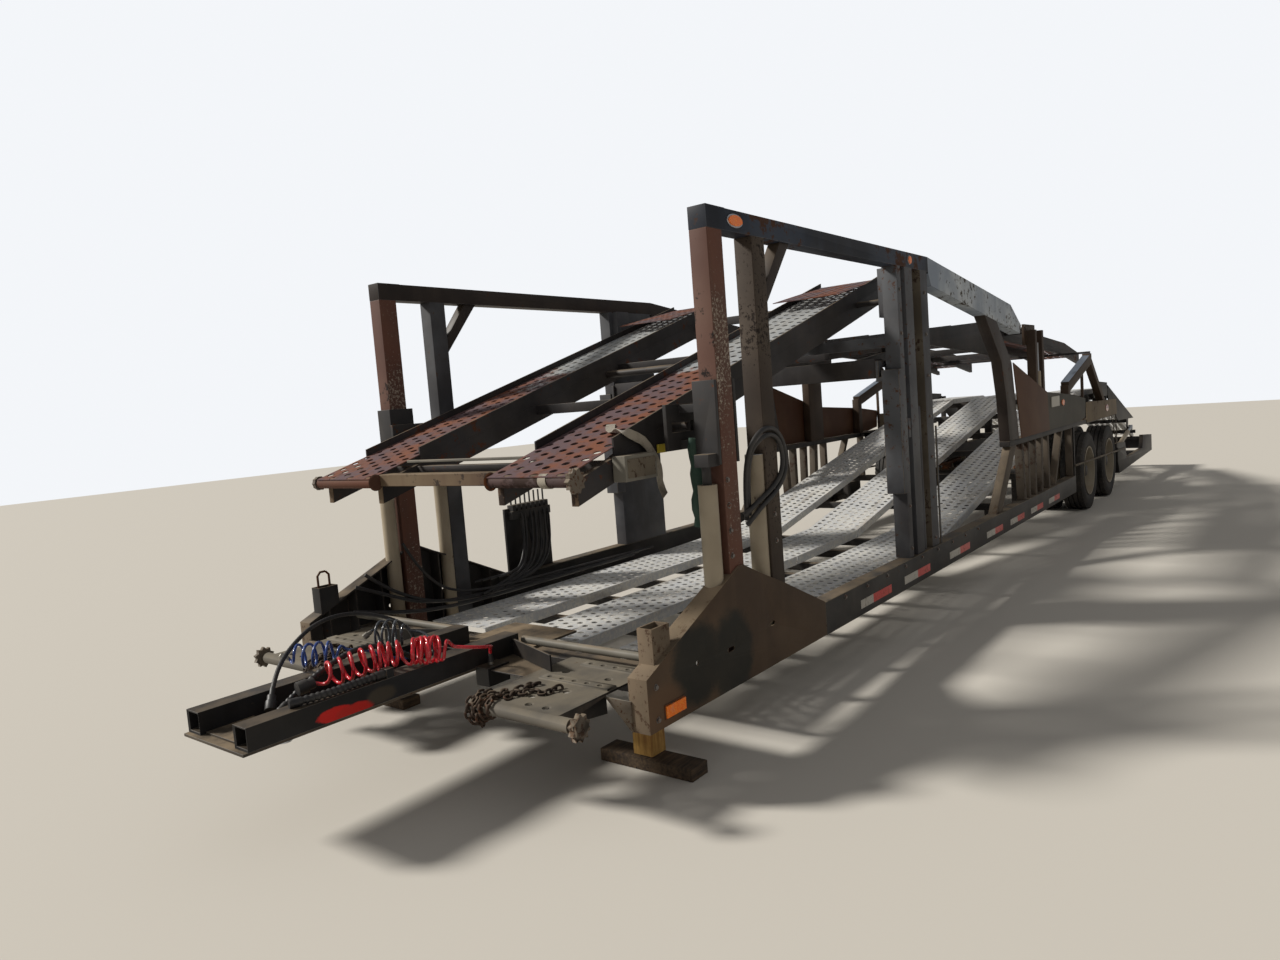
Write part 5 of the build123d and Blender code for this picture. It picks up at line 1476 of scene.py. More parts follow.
@dataclass
class Tongue:
    """Floor, box rails, bulkhead, steps, glands and cross pipes of the tongue."""

    half: float = 0.241
    rail: float = 0.1
    floor: Pair = (0.451, 0.463)
    top: float = 0.560
    rails: Pair = (-300.0, 1144.0)
    recess: float = 0.05
    wall: float = 0.009
    beam_half: float = 1.1955
    bulkhead_glands: tuple[Point, ...] = ((-0.040, 0.505, 0.024), (-0.100, 0.500, 0.014))  # Y, Z, radius
    step_glands: tuple[Point, ...] = ((-60.0, 0.290, 0.014), (-60.0, -0.290, 0.020))  # station, Y, radius

    def box_rail(self, sketch: Sketch, side: Side) -> None:
        """Add a rail whose front end is a sunken plate inside its walls.

        Args:
            sketch: The piece.
            side: The trailer's side.
        """
        low, high = side.band(self.half - self.rail, self.half)
        rear, front = between(*self.rails)
        foot, top, w = self.floor[1], self.top, self.wall
        outer = [(low, foot), (high, foot), (high, top), (low, top)]
        inner = [(low + w, foot + w), (high - w, foot + w), (high - w, top - w), (low + w, top - w)]
        levels = ((rear, outer), (front, outer), (front - 0.004, inner), (front - self.recess, inner))
        sketch.loft([[(x, py, pz) for py, pz in ring] for x, ring in levels], TONGUE_BLACK)

    def side_fittings(self, sketch: Sketch, side: Side) -> None:
        """Add one side's step, slanted wall, black sheet of painted shade in the pocket, and cross pipe.

        Args:
            sketch: The piece.
            side: The trailer's side.
        """
        z = self.floor[1]
        sketch.block(between(-140, 0), side.band(self.half, 0.330), (0.380, 0.470), TONGUE_BLACK)
        slant = ((-255, 0.241), (-115, 0.635), (-125, 0.638), (-265, 0.245))
        sketch.upright([(at(x), side.value * y) for x, y in slant], (z, z + 0.08), FRAME_BLACK)
        # Thin black sheet in the open pocket between rail and slanted wall: painted shade, standing for the shadow
        # there.
        painted_shade_sheet = ((-262, 0.239), (-120, 0.636), (-20, 0.57), (-20, 0.329), (-138, 0.329), (-138, 0.239))
        sketch.upright([(at(x), side.value * y) for x, y in painted_shade_sheet], (z - 0.010, z - 0.004), FRAME_BLACK)
        ends = ((at(-330), side.value * y, 0.520) for y in (self.half, 1.1952))
        sketch.rod(*ends, 0.020, PIPE_GREY)

    def build(self) -> None:
        """Make the tongue as one piece."""
        sketch = Sketch()
        inner, z = self.half - self.rail, self.floor[1]
        sketch.block(between(-735, 1164), (-self.half, self.half), self.floor, TONGUE_FLOOR)
        sketch.block(between(-450, -330), (-self.beam_half, self.beam_half), (0.340, self.floor[0]), FRAME_BLACK)
        sketch.block(between(2, 10), (-inner, inner), (z, self.top - 0.012), TONGUE_BLACK)
        sketch.block(between(915, 1120), (-inner, inner), (z, z + 0.009), TONGUE_FLOOR)
        sketch.block(between(455, 495), (0.196, 0.236), (self.top, self.top + 0.040), TONGUE_BLACK)
        for side in Side:
            self.box_rail(sketch, side)
            self.side_fittings(sketch, side)
        for y, height, radius in self.bulkhead_glands:
            sketch.rod((at(10), y, height), (at(28), y, height), radius, COUPLING_METAL)
        for x, y, radius in self.step_glands:
            sketch.rod((at(x), y, 0.470), (at(x), y, 0.488), radius, COUPLING_METAL)
        sketch.rod((at(60), 0.020, z), (at(60), 0.020, 0.481), 0.014, COUPLING_METAL)
        made = sketch.piece("tongue_dressed", "chassis", 0.006, 35.0, TONGUE_EDGE)
        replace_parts(made, "tongue")


# Decks
@dataclass(frozen=True)
class TrackRun:
    """One straight stretch of track, as stations in millimetres, over bands of Y."""

    rear: Pair
    front: Pair
    bands: tuple[Pair, ...]


@dataclass(frozen=True)
class Slope:
    """A deck's surface in millimetres: a point of it, and its fall for each millimetre forward."""

    x: float
    z: float
    fall: float

    def height(self, x: float) -> float:
        """Its height at a station."""
        return self.z + self.fall * (self.x - x)

    def run(self, rear: float, front: float, bands: tuple[Pair, ...]) -> TrackRun:
        """Stretch of track between two stations."""
        return TrackRun((rear, self.height(rear)), (front, self.height(front)), bands)


LOWER_BANDS: tuple[Pair, ...] = ((528.0, 1025.0), (-237.0, 237.0), (-1025.0, -528.0))
UPPER_BANDS: tuple[Pair, ...] = ((445.0, 947.0), (-947.0, -445.0))
CREST = -9500.0
RAMP = Slope(-4450.0, 418.0, 0.1967)
FRONT_SLOPE = Slope(5.0, 1392.0, 0.296)
MIDDLE_SLOPE = Slope(-3570.0, 2010.0, 0.0647)
REAR_SLOPE = Slope(-6580.0, 2160.0, -0.0625)
TAIL_SLOPE = Slope(-10880.0, RAMP.height(CREST), -0.303)
NOSE_TUBE = (-25.0, FRONT_SLOPE.height(-25.0) - 32)


@dataclass
class TrackSet:
    """The perforated channel tracks of one deck."""

    name: str
    node: str
    body: str
    runs: tuple[TrackRun, ...]
    finish: Finish = LOWER_ZINC
    side_finish: Finish = LOWER_ZINC
    lip: float = 0.0
    depth: float = 0.064
    wall: float = 0.006
    inset: float = 0.004
    foot: float = 0.032
    flange: float = 0.006

    def wall_end(self, run: TrackRun) -> Pair:
        """Station and height where a run's side walls end in front."""
        return run.front

    def channel(self, sketch: Sketch, run: TrackRun, band: Pair) -> None:
        """Add a track's side walls and their feet.

        Args:
            sketch: The piece.
            run: The stretch of track.
            band: Its two edges.
        """
        ends = [(at(x), z / 1000) for x, z in (run.rear, self.wall_end(run))]
        low = -self.depth
        base = [(x, z + low) for x, z in reversed(ends)]
        for edge, inward in zip(band, (1, -1)):
            start, inner = edge / 1000, edge / 1000 + inward * self.wall
            sketch.prism([*((x, z + self.lip) for x, z in ends), *base], ordered(start, inner), self.side_finish)
            foot = ordered(inner, start + inward * self.foot)
            sketch.prism([*((x, z + low + self.flange) for x, z in ends), *base], foot, self.side_finish)

    def plates(
        self, sketch: Sketch, perforator: Perforator, run: TrackRun, inset: float, finish: Finish
    ) -> None:
        """Add the perforated plates of a run.

        Args:
            sketch: The piece.
            perforator: Maker of perforated plates.
            run: The stretch of track.
            inset: How far the plates stay inside their bands.
            finish: Their finish.
        """
        rear, front = ((at(x), z / 1000) for x, z in (run.rear, run.front))
        for low, high in run.bands:
            y = (low / 1000 + inset, high / 1000 - inset)
            sketch.take(perforator.plate(rear, front, y, finish), finish)

    def fit(self, sketch: Sketch, perforator: Perforator) -> None:
        """Add what this deck alone has: nothing, as a rule."""

    def build(self, perforator: Perforator) -> bpy.types.Object:
        """Make the tracks as one piece.

        Args:
            perforator: Maker of perforated plates.

        Returns:
            The piece.
        """
        sketch = Sketch()
        for run in self.runs:
            self.plates(sketch, perforator, run, self.inset, self.finish)
            for band in run.bands:
                self.channel(sketch, run, band)
        self.fit(sketch, perforator)
        made = sketch.piece(self.name, self.body, 0.0, 30.0)
        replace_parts(made, self.node)
        return made


@dataclass
class UpperTracks(TrackSet):
    """Tracks of an upper deck, whose black side walls stand above them."""

    side_finish: Finish = DECK_BLACK
    lip: float = 0.040
    depth: float = 0.048
    wall: float = 0.010


@dataclass
class FrontTracks(UpperTracks):
    """Front upper deck, with folded flaps at its rear and nose tubes with ratchets."""

    walls_from: float = -330.0
    flap: TrackRun = TrackRun(
        (-3540.0, FRONT_SLOPE.height(-3540.0) + 12), (-2800.0, FRONT_SLOPE.height(-2800.0) + 84), UPPER_BANDS
    )
    tube: float = 0.030
    washer: float = 0.044
    teeth: int = 20
    near_teeth: Pair = (0.058, 0.045)
    far_teeth: Pair = (0.040, 0.036)

    def wall_end(self, run: TrackRun) -> Pair:
        """Station and height where the side walls end, behind the bare nose."""
        (rx, rz), (fx, fz) = run.rear, run.front
        return self.walls_from, rz + (fz - rz) * (self.walls_from - rx) / (fx - rx)

    def fit(self, sketch: Sketch, perforator: Perforator) -> None:
        """Add the flaps and the nose tubes with their ratchets.

        Args:
            sketch: The piece.
            perforator: Maker of perforated plates.
        """
        self.plates(sketch, perforator, self.flap, 0.0, FLAP_RUST)
        x, z = at(NOSE_TUBE[0]), NOSE_TUBE[1] / 1000
        for side in Side:
            sign = side.value
            inner, outer = sign * 0.445, sign * 0.959
            sketch.rod((x, inner, z), (x, outer, z), self.tube, DECK_RUST, 24)
            radii = self.near_teeth if side is Side.LEFT else self.far_teeth
            rim = [(radii[k % 2], a) for k, a in enumerate(turns(self.teeth))]
            wheel = [(x + r * math.cos(a), z + r * math.sin(a)) for r, a in rim]
            sketch.prism(wheel, ordered(outer, outer + sign * 0.024), WHEEL_IRON)
            sketch.rod((x, inner - sign * 0.006, z), (x, inner + sign * 0.004, z), self.washer, RUSTED_IRON, 24)


def deck_tracks() -> tuple[TrackSet, ...]:
    """Track sets of every deck.

    Returns:
        The track sets, in the order in which they are made.
    """
    crest, knee = RAMP.height(CREST), REAR_SLOPE.height(-9300.0)
    flat = (
        TrackRun((-3300.0, 395.0), (-750.0, 395.0), LOWER_BANDS),
        TrackRun((-4430.0, 418.0), (-3320.0, 395.0), LOWER_BANDS),
    )
    ramp = (
        RAMP.run(-7200.0, -4450.0, LOWER_BANDS),
        RAMP.run(CREST, -7210.0, LOWER_BANDS),
        TrackRun((-10880.0, crest), (-9510.0, crest), LOWER_BANDS),
    )
    rear = (
        REAR_SLOPE.run(-9300.0, -6580.0, UPPER_BANDS),
        TrackRun((-10120.0, 1860.0), (-9300.0, knee), UPPER_BANDS),
    )
    tail = (TAIL_SLOPE.run(-13690.0, -10890.0, LOWER_BANDS),)
    front = (FRONT_SLOPE.run(-3560.0, 5.0, UPPER_BANDS),)
    middle = (MIDDLE_SLOPE.run(-6540.0, -3570.0, UPPER_BANDS),)
    return (
        TrackSet("lower_tracks", "flat_tracks", "chassis", flat),
        TrackSet("ramp_and_crest_tracks", "ramp_tracks", "chassis", ramp),
        TrackSet("tail_deck_tracks", "tail_tracks", "tail_deck", tail),
        FrontTracks("front_upper_tracks", "front_deck_tracks", "front_deck", front, FRONT_ZINC),
        UpperTracks("middle_upper_tracks", "mid_deck_tracks", "mid_deck", middle, UPPER_ZINC),
        UpperTracks("rear_upper_tracks", "rear_deck_tracks", "rear_deck", rear, REAR_ZINC),
    )


# Wheels
class AxleEnd(Enum):
    """The two axles, each with its station."""

    FRONT = -8881.0
    REAR = -10143.0


@dataclass
class WheelPair:
    """Twin tyres and their painted discs on one hub."""

    end: AxleEnd
    side: Side
    radius: float = 0.4645
    bead: float = 0.286
    width: float = 0.255
    outer_face: float = 1.277
    gap: float = 0.085
    lugs: int = 56
    lug_seat: float = 0.012
    shoulder: float = 0.0935
    nuts: int = 10
    bolt_circle: float = 0.1425
    disc_steps: int = 60
    disc_thickness: float = 0.012

    @property
    def name(self) -> str:
        """The wheel's name in names of bodies, nodes and pieces."""
        return f"{self.end.name.lower()}_{self.side.label}"

    @property
    def centre(self) -> Point:
        """Middle of the axle at this wheel."""
        return at(self.end.value), 0.0, self.radius

    @property
    def middles(self) -> Pair:
        """Y of the outer and the inner tyre's centre."""
        outer = self.outer_face - self.width / 2
        return self.side.value * outer, self.side.value * (outer - self.width - self.gap)

    @property
    def mate(self) -> float:
        """Y where the two discs meet."""
        return sum(self.middles) / 2

    def tyre_profile(self, middle: float) -> list[Pair]:
        """Section of a tyre with three grooves, as (radius, y) points.

        Args:
            middle: Y of the tyre's middle.

        Returns:
            The section's points.
        """
        r, b = self.radius, self.bead
        flank = [(b, 0.098), (b + 0.012, 0.112), (0.325, 0.119), (0.365, self.width / 2), (0.405, 0.1255)]
        flank += [(0.436, 0.117), (r - 0.013, 0.108), (r - 0.004, 0.100)]
        groove = ((0.002, -0.0075), (0.016, -0.005), (0.016, 0.005), (0.002, 0.0075))
        tread = [(r - deep, y + wide) for y in (-0.052, 0.0, 0.052) for deep, wide in groove]
        return [(rr, yy + middle) for rr, yy in [*((rr, -yy) for rr, yy in flank), *tread, *reversed(flank)]]

    def tyres(self, repeater: Repeater) -> None:
        """Make both tyres with their shoulder lugs.

        Args:
            repeater: Maker of the copies.
        """
        sketch = Sketch()
        spots = []
        tread = self.radius - self.lug_seat
        for middle in self.middles:
            sketch.revolve(self.tyre_profile(middle), self.centre, TYRE_RUBBER, 96)
            for a in turns(self.lugs):
                x, z = self.centre[0] + tread * math.cos(a), self.centre[2] + tread * math.sin(a)
                for y in (middle - self.shoulder, middle + self.shoulder):
                    spots.append(((x, y, z), (math.cos(a), 0.0, math.sin(a)), 0.0))
        sketch.take(repeater.spread(self.lug(), spots, TYRE_RUBBER), TYRE_RUBBER)
        made = sketch.piece(f"tyre_pair_{self.name}", f"wheel_{self.name}", 0.0, 28.0)
        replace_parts(made, f"tyres_{self.name}")

    @staticmethod
    def lug() -> bpy.types.Mesh:
        """One shoulder lug of the tread, its height along Z.

        Returns:
            The lug.
        """
        sketch = Sketch()
        levels = ((0.016, 0.018, -0.004), (0.013, 0.015, 0.0118))
        sketch.loft([[(-x, -y, z), (x, -y, z), (x, y, z), (-x, y, z)] for x, y, z in levels], TYRE_RUBBER)
        return sketch.mesh("lug")

    def rims(self, repeater: Repeater) -> None:
        """Make both rims, their dished discs with hand holes, and the hub with its nuts.

        Args:
            repeater: Maker of the copies.
        """
        sign = self.side.value
        sketch = Sketch()
        b = self.bead
        half = [(b - 0.034, 0.06), (b - 0.014, 0.10), (b - 0.010, 0.121), (b + 0.006, 0.121)]
        half += [(b + 0.006, 0.1165), (b - 0.002, 0.114), (b - 0.004, 0.098), (b - 0.024, 0.06)]
        rim = [*half, *((r, -y) for r, y in reversed(half))]
        for middle in self.middles:
            sketch.revolve([(r, y + middle) for r, y in rim], self.centre, RIM_PAINT, 72)
            self.disc(sketch, middle)
        self.hub(sketch, sign)
        nuts = []
        for a in turns(self.nuts):
            x, z = self.centre[0] + self.bolt_circle * math.cos(a), self.centre[2] + self.bolt_circle * math.sin(a)
            nuts.append(((x, self.mate + sign * 0.030, z), (0.0, float(sign), 0.0), a))
        sketch.take(repeater.spread(hex_head(0.0165, 0.024), nuts, BOLT_STEEL), BOLT_STEEL)
        made = sketch.piece(f"disc_pair_{self.name}", f"wheel_{self.name}", 0.0, 32.0)
        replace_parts(made, f"rims_{self.name}")

    def disc(self, sketch: Sketch, middle: float) -> None:
        """Add the dished disc between the bolt circle and the rim, with ten round hand holes.

        Args:
            sketch: The piece.
            middle: Y of the disc's tyre.
        """
        rings = ((0.110, 0.0), (0.170, 0.0), (0.190, 0.10), (0.212, 0.42), (0.236, 0.80), (0.256, 1.0))
        away = middle - self.mate
        facing = math.copysign(1.0, away)
        count = len(rings)
        holed, rim = count - 3, count - 1
        points = [
            (
                self.centre[0] + r * math.cos(a), self.mate + facing * (0.008 + skin) + away * 0.62 * share,
                self.centre[2] + r * math.sin(a),
            )
            for skin in (0.0, self.disc_thickness) for a in turns(self.disc_steps) for r, share in rings
        ]
        faces = []
        back = self.disc_steps * count
        for k in range(self.disc_steps):
            a, b = k * count, (k + 1) % self.disc_steps * count
            place = k % 6
            hole = place < 3
            for i in range(rim):
                if not (hole and i == holed):
                    faces.append((a + i, a + i + 1, b + i + 1, b + i))
                    faces.append((back + b + i, back + b + i + 1, back + a + i + 1, back + a + i))
            faces += [(a + i, b + i, back + b + i, back + a + i) for i in (0, rim)]
            if hole:
                faces += [(a + i, back + a + i, back + b + i, b + i) for i in (holed, holed + 1)]
            if place == 0:
                faces.append((a + holed, a + holed + 1, back + a + holed + 1, back + a + holed))
            if place == 2:
                faces.append((b + holed, back + b + holed, back + b + holed + 1, b + holed + 1))
        sketch.add(points, faces, RIM_PAINT)

    def hub(self, sketch: Sketch, sign: int) -> None:
        """Add the hub with its cap and flange.

        Args:
            sketch: The piece.
            sign: 1 on the left side and -1 on the right.
        """
        outer, inner = self.middles
        steps = (
            (0.041, inner, -0.110), (0.120, inner, -0.110), (0.120, self.mate, -0.030), (0.165, self.mate, -0.026),
            (0.165, self.mate, 0.006), (0.112, self.mate, 0.014), (0.106, outer, 0.020), (0.098, outer, 0.036),
            (0.075, outer, 0.042), (0.072, outer, 0.078), (0.055, outer, 0.088), (0.002, outer, 0.089),
            (0.002, outer, 0.02), (0.041, outer, -0.018),
        )
        sketch.revolve([(r, y + sign * away) for r, y, away in steps], self.centre, FRAME_BLACK, 48)


def hex_head(radius: float, height: float) -> bpy.types.Mesh:
    """Make a hexagonal nut or bolt head on a washer, standing on the origin.

    Args:
        radius: From its middle to a corner.
        height: With the washer.

    Returns:
        The mesh.
    """
    sketch = Sketch()
    seat = height * 0.15
    washer = ((radius * 1.35, 0.0), (radius * 1.35, seat))
    head = ((radius, seat), (radius, height * 0.88), (radius * 0.86, height))
    for sides, levels in ((12, washer), (6, head)):
        sketch.loft([[(r * math.cos(a), r * math.sin(a), z) for a in turns(sides)] for r, z in levels], BOLT_STEEL)
    return sketch.mesh("head")


# Welded frame, eased and finished
Rule = Callable[[Vector, Vector], int]
NOSE = at(-12.0)  # just behind the gussets' front edges
STUB_POSTS = at(-215.0)  # behind the gussets' stub posts
FIRST_POSTS = at(-960.0)  # between the first and second front posts
MID_POSTS_REAR = at(-3200.0)  # between the mid posts' front and rear members
RAIL_KINK = at(-3560.0)  # where the top rails turn down
DECK_NOSE = at(-300.0)  # in front of it are the front deck's bars
MAST = (at(-6665.0), 1.242)  # X and Y of a mast's middle
MAST_BORE = 0.04  # radius inside which a mast holds its cylinder
OLIVE_FROM = at(-7700.0)  # where the side plates turn from brown to olive
ARM_BARS = (at(-9060.0), at(-7965.0))  # stations of the rear arms' pale bars
ARM_BAR_FOOT = 1.49
CHEEKS_FROM = at(2.0)  # in front of it are the ratchets' cheeks
FRONT_ROD_FOOT = 1.281  # Z where the front cylinders' rods leave their barrels
MAST_ROD_FOOT = 1.695
PLANK_TOP = 0.11


def always(centre: Vector, normal: Vector) -> int:
    """First finish everywhere."""
    return 0


def post_rule(centre: Vector, normal: Vector) -> int:
    """Red-brown front posts, specked outside; umber second post near, grey one far."""
    if centre.x > FIRST_POSTS:
        return 1 if normal.y > 0.5 else 0
    return 3 if centre.y < 0 else 2


def mid_post_rule(centre: Vector, normal: Vector) -> int:
    """Grey posts, worn where a car's doors reach the rear rails."""
    return 1 if centre.x < MID_POSTS_REAR and abs(normal.y) < 0.5 else 0


def rail_rule(centre: Vector, normal: Vector) -> int:
    """Dark far rail; blue near rail whose slope behind the kink is pale, partly peeled paint and partly a painted
    reflection of the sky.
    """
    if centre.y < 0:
        return 1
    return 2 if centre.x < RAIL_KINK - 0.002 else 0


def gusset_rule(centre: Vector, normal: Vector) -> int:
    """Bare front edges, and bare upper flange and stub post near; black far side and insides, partly dark paint and
    partly painted shade.

    Args:
        centre: Middle of a face.
        normal: The way that the face looks.

    Returns:
        Number of the finish.
    """
    if normal.x > 0.9 and centre.x > NOSE:
        return 1
    # The far gusset and the faces turned inward go black: dark paint, and painted shade where they lie in shadow.
    if centre.y < 0 or normal.y < -0.5:
        return 2
    flange = normal.z > 0.3 and centre.z > 0.5
    return 1 if flange or (centre.z > 0.6 and centre.x > STUB_POSTS) else 0


def apron_rule(centre: Vector, normal: Vector) -> int:
    """Worn ratchets and dark cheeks on the pale aprons."""
    if abs(centre.y) > 1.15:
        return 1
    return 2 if abs(normal.y) > 0.8 and abs(centre.y) > 1.05 and centre.x > CHEEKS_FROM else 0


def cylinder_rule(centre: Vector, normal: Vector) -> int:
    """Bright rod above the painted barrel."""
    return 1 if centre.z > FRONT_ROD_FOOT else 0


def mast_rule(centre: Vector, normal: Vector) -> int:
    """Bright rods above painted barrels, inside the brown masts."""
    if math.hypot(centre.x - MAST[0], abs(centre.y) - MAST[1]) > MAST_BORE:
        return 0
    return 1 if centre.z > MAST_ROD_FOOT else 2


def deck_frame_rule(centre: Vector, normal: Vector) -> int:
    """Patched bars at the front deck's nose."""
    return 1 if centre.x > DECK_NOSE else 0


def arm_rule(centre: Vector, normal: Vector) -> int:
    """Pale steel on the bars in front of the tip."""
    on_bars = ARM_BARS[0] < centre.x < ARM_BARS[1] and centre.z > ARM_BAR_FOOT
    return 1 if on_bars and abs(normal.x) < 0.999 else 0


def side_rule(centre: Vector, normal: Vector) -> int:
    """Brown side panels, olive behind the mast."""
    return 1 if centre.x < OLIVE_FROM else 0


def prop_rule(centre: Vector, normal: Vector) -> int:
    """Sawn blocks on old planks."""
    return 1 if centre.z > PLANK_TOP else 0


def body_name(node: str) -> str:
    """Body that a CAD node rides on."""
    bodies = frame["record"]["behaviour"]["bodies"]
    return next((body for body, names in bodies.items() if node in names), "chassis")


@dataclass
class FramePart:
    """A CAD node dressed as an eased copy with one finish or more.

    The rule picks the finish of each face from its centre and normal; the edge is the finish of the eased edges.
    """

    node: str
    finishes: tuple[Finish, ...]
    ease: float = 0.003
    rule: Rule = always
    edge: Finish | None = None
    trim: float | None = None
    split: float | None = None

    def cut(self, bm: bmesh.types.BMesh) -> None:
        """Take away what lies nearer the middle plane than the trim, and close the cuts.

        Args:
            bm: The node's mesh.
        """
        for side in (1, -1):
            verts = [v for v in bm.verts if v.co.y * side > 0]
            kept = set(verts)
            geom = verts + [e for e in bm.edges if e.verts[0] in kept] + [f for f in bm.faces if f.verts[0] in kept]
            result = bmesh.ops.bisect_plane(
                bm, geom=geom, plane_co=(0.0, side * self.trim, 0.0), plane_no=(0.0, side, 0.0), clear_inner=True,
            )
            edges = [e for e in result["geom_cut"] if isinstance(e, bmesh.types.BMEdge)]
            bmesh.ops.holes_fill(bm, edges=edges, sides=0)

    def eased(self, bm: bmesh.types.BMesh) -> set[bmesh.types.BMFace]:
        """Bevel the sharp edges, and give the faces that this makes.

        Args:
            bm: The node's mesh.

        Returns:
            The faces of the bevels.
        """
        sharp = [e for e in bm.edges if len(e.link_faces) == 2 and e.calc_face_angle(0.0) > CREASE]
        result = bmesh.ops.bevel(
            bm, geom=sharp, offset=self.ease, offset_type="OFFSET", segments=2, profile=0.6, affect="EDGES",
            clamp_overlap=True,
        )
        return set(result["faces"])

    def build(self) -> bpy.types.Object:
        """Copy the node's mesh, weld and ease it, and finish its faces by the rule.

        Returns:
            The dressed piece.
        """
        bm = bmesh.new()
        bm.from_mesh(frame["nodes"][self.node].data)
        bmesh.ops.remove_doubles(bm, verts=bm.verts, dist=2e-5)
        bmesh.ops.dissolve_limit(
            bm, angle_limit=math.radians(0.5), verts=bm.verts, edges=bm.edges, delimit={"MATERIAL"},
        )
        if self.trim is not None:
            self.cut(bm)
        if self.split is not None:
            geom = [*bm.verts, *bm.edges, *bm.faces]
            bmesh.ops.bisect_plane(bm, geom=geom, plane_co=(self.split, 0.0, 0.0), plane_no=(1.0, 0.0, 0.0))
        bevelled = self.eased(bm) if self.ease else set()
        bm.normal_update()
        for face in bm.faces:
            worn = self.edge and face in bevelled
            face.material_index = len(self.finishes) if worn else self.rule(face.calc_center_median(), face.normal)
        name = f"{self.node}_dressed"
        mesh = bpy.data.meshes.new(name)
        bm.to_mesh(mesh)
        bm.free()
        finishes = [*self.finishes, self.edge] if self.edge else self.finishes
        made = set_out(name, mesh, finishes, 32.0, body_name(self.node))
        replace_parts(made, self.node)
        return made


FRAME_PARTS: tuple[FramePart, ...] = (
    FramePart("kingpin", (ROD_STEEL,), 0.0015),
    FramePart("aprons", (APRON_PLATE, WHEEL_IRON, FRAME_BLACK), 0.0015, apron_rule, trim=0.56),
    FramePart("gussets", (GUSSET_BROWN, BARE_FLANGE, FRAME_BLACK), 0.003, gusset_rule, GUSSET_EDGE),
    FramePart("sills", (SILL_GREY,), edge=POST_WORN),
    FramePart("front_posts", (POST_DARK, POST_SPECKED, POST_UMBER, POST_GREY), 0.004, post_rule),
    FramePart("mid_posts", (POST_GREY, POST_WORN), 0.003, mid_post_rule, POST_WORN),
    FramePart("top_rails", (RAIL_BLUE, RAIL_DARK, RAIL_PEELED_AND_SKY_SHEEN), 0.005, rail_rule, RAIL_EDGE, split=RAIL_KINK),
    FramePart("rail_braces", (RAIL_DARK,)),
    FramePart("side_beams", (FRAME_BLACK,)),
    FramePart("side_struts", (STRUT_BEIGE,)),
    FramePart("body_sides", (SIDE_BROWN, SIDE_OLIVE), 0.002, side_rule),
    FramePart("fender_panels", (FENDER_BEIGE,), 0.002),
    FramePart("masts", (ARM_BROWN, ROD_STEEL, BARREL_PAINT), 0.003, mast_rule),
    FramePart("rear_arms", (ARM_BROWN, ARM_STEEL), 0.003, arm_rule),
    FramePart("crossmembers", (FRAME_BLACK,), 0.002),
    FramePart("chassis_beams", (FRAME_BLACK,)),
    FramePart("axles", (FRAME_BLACK,), 0.002),
    FramePart("springs", (RUSTED_IRON,), 0.002),
    FramePart("tail_frame", (FRAME_BLACK,)),
    FramePart("crest_skirts", (FRAME_BLACK,), 0.002),
    FramePart("tail_deck_frame", (FRAME_BLACK,), 0.002),
    FramePart("tail_barrels", (BARREL_PAINT,), 0.002),
    FramePart("tail_rods", (ROD_STEEL,), 0.002),
    FramePart("front_deck_frame", (DECK_BLACK, BAR_PATCHED), 0.003, deck_frame_rule),
    FramePart("front_carriers", (FRAME_BLACK,)),
    FramePart("front_cylinders", (BARREL_PAINT, ROD_STEEL), 0.002, cylinder_rule),
    FramePart("mid_deck_frame", (DECK_BLACK,)),
    FramePart("mid_carriers", (POST_GREY,), edge=POST_WORN),
    FramePart("rear_deck_frame", (DECK_BLACK,)),
    FramePart("timber_props", (PROP_PLANK, PROP_BLOCK), 0.004, prop_rule),
    FramePart("valve_bank", (FRAME_BLACK,), 0.002),
    FramePart("bank_hoses", (HOSE_RUBBER,), 0.0),
    FramePart("loop_plug", (HOSE_RUBBER,), 0.002),
    FramePart("red_coupling", (HOSE_RUBBER,), 0.002),
)


# Small fittings
@dataclass
class SafetyTape:
    """Red and white reflective strips along both sills."""

    height: float = 0.375
    depth: float = 0.052
    thickness: float = 0.0012
    strips: tuple[Point, ...] = (
        (-2107.0, -2292.0, -2583.0), (-2810.0, -3050.0, -3290.0), (-3710.0, -3945.0, -4180.0),
        (-4630.0, -4860.0, -5090.0), (-5330.0, -5560.0, -5790.0), (-6030.0, -6260.0, -6490.0),
        (-6730.0, -6960.0, -7190.0),
    )

    def build(self) -> None:
        """Lay the strips on the sills' outer faces."""
        z = self.height - self.depth / 2, self.height + self.depth / 2
        for side in Side:
            y = side.band(SIDE_FACE, SIDE_FACE + self.thickness)
            sketch = Sketch()
            for white, middle, red in self.strips:
                sketch.block(between(middle, white), y, z, TAPE_WHITE)
                sketch.block(between(red, middle), y, z, TAPE_RED)
            sketch.piece(f"safety_tape_{side.label}", "chassis")


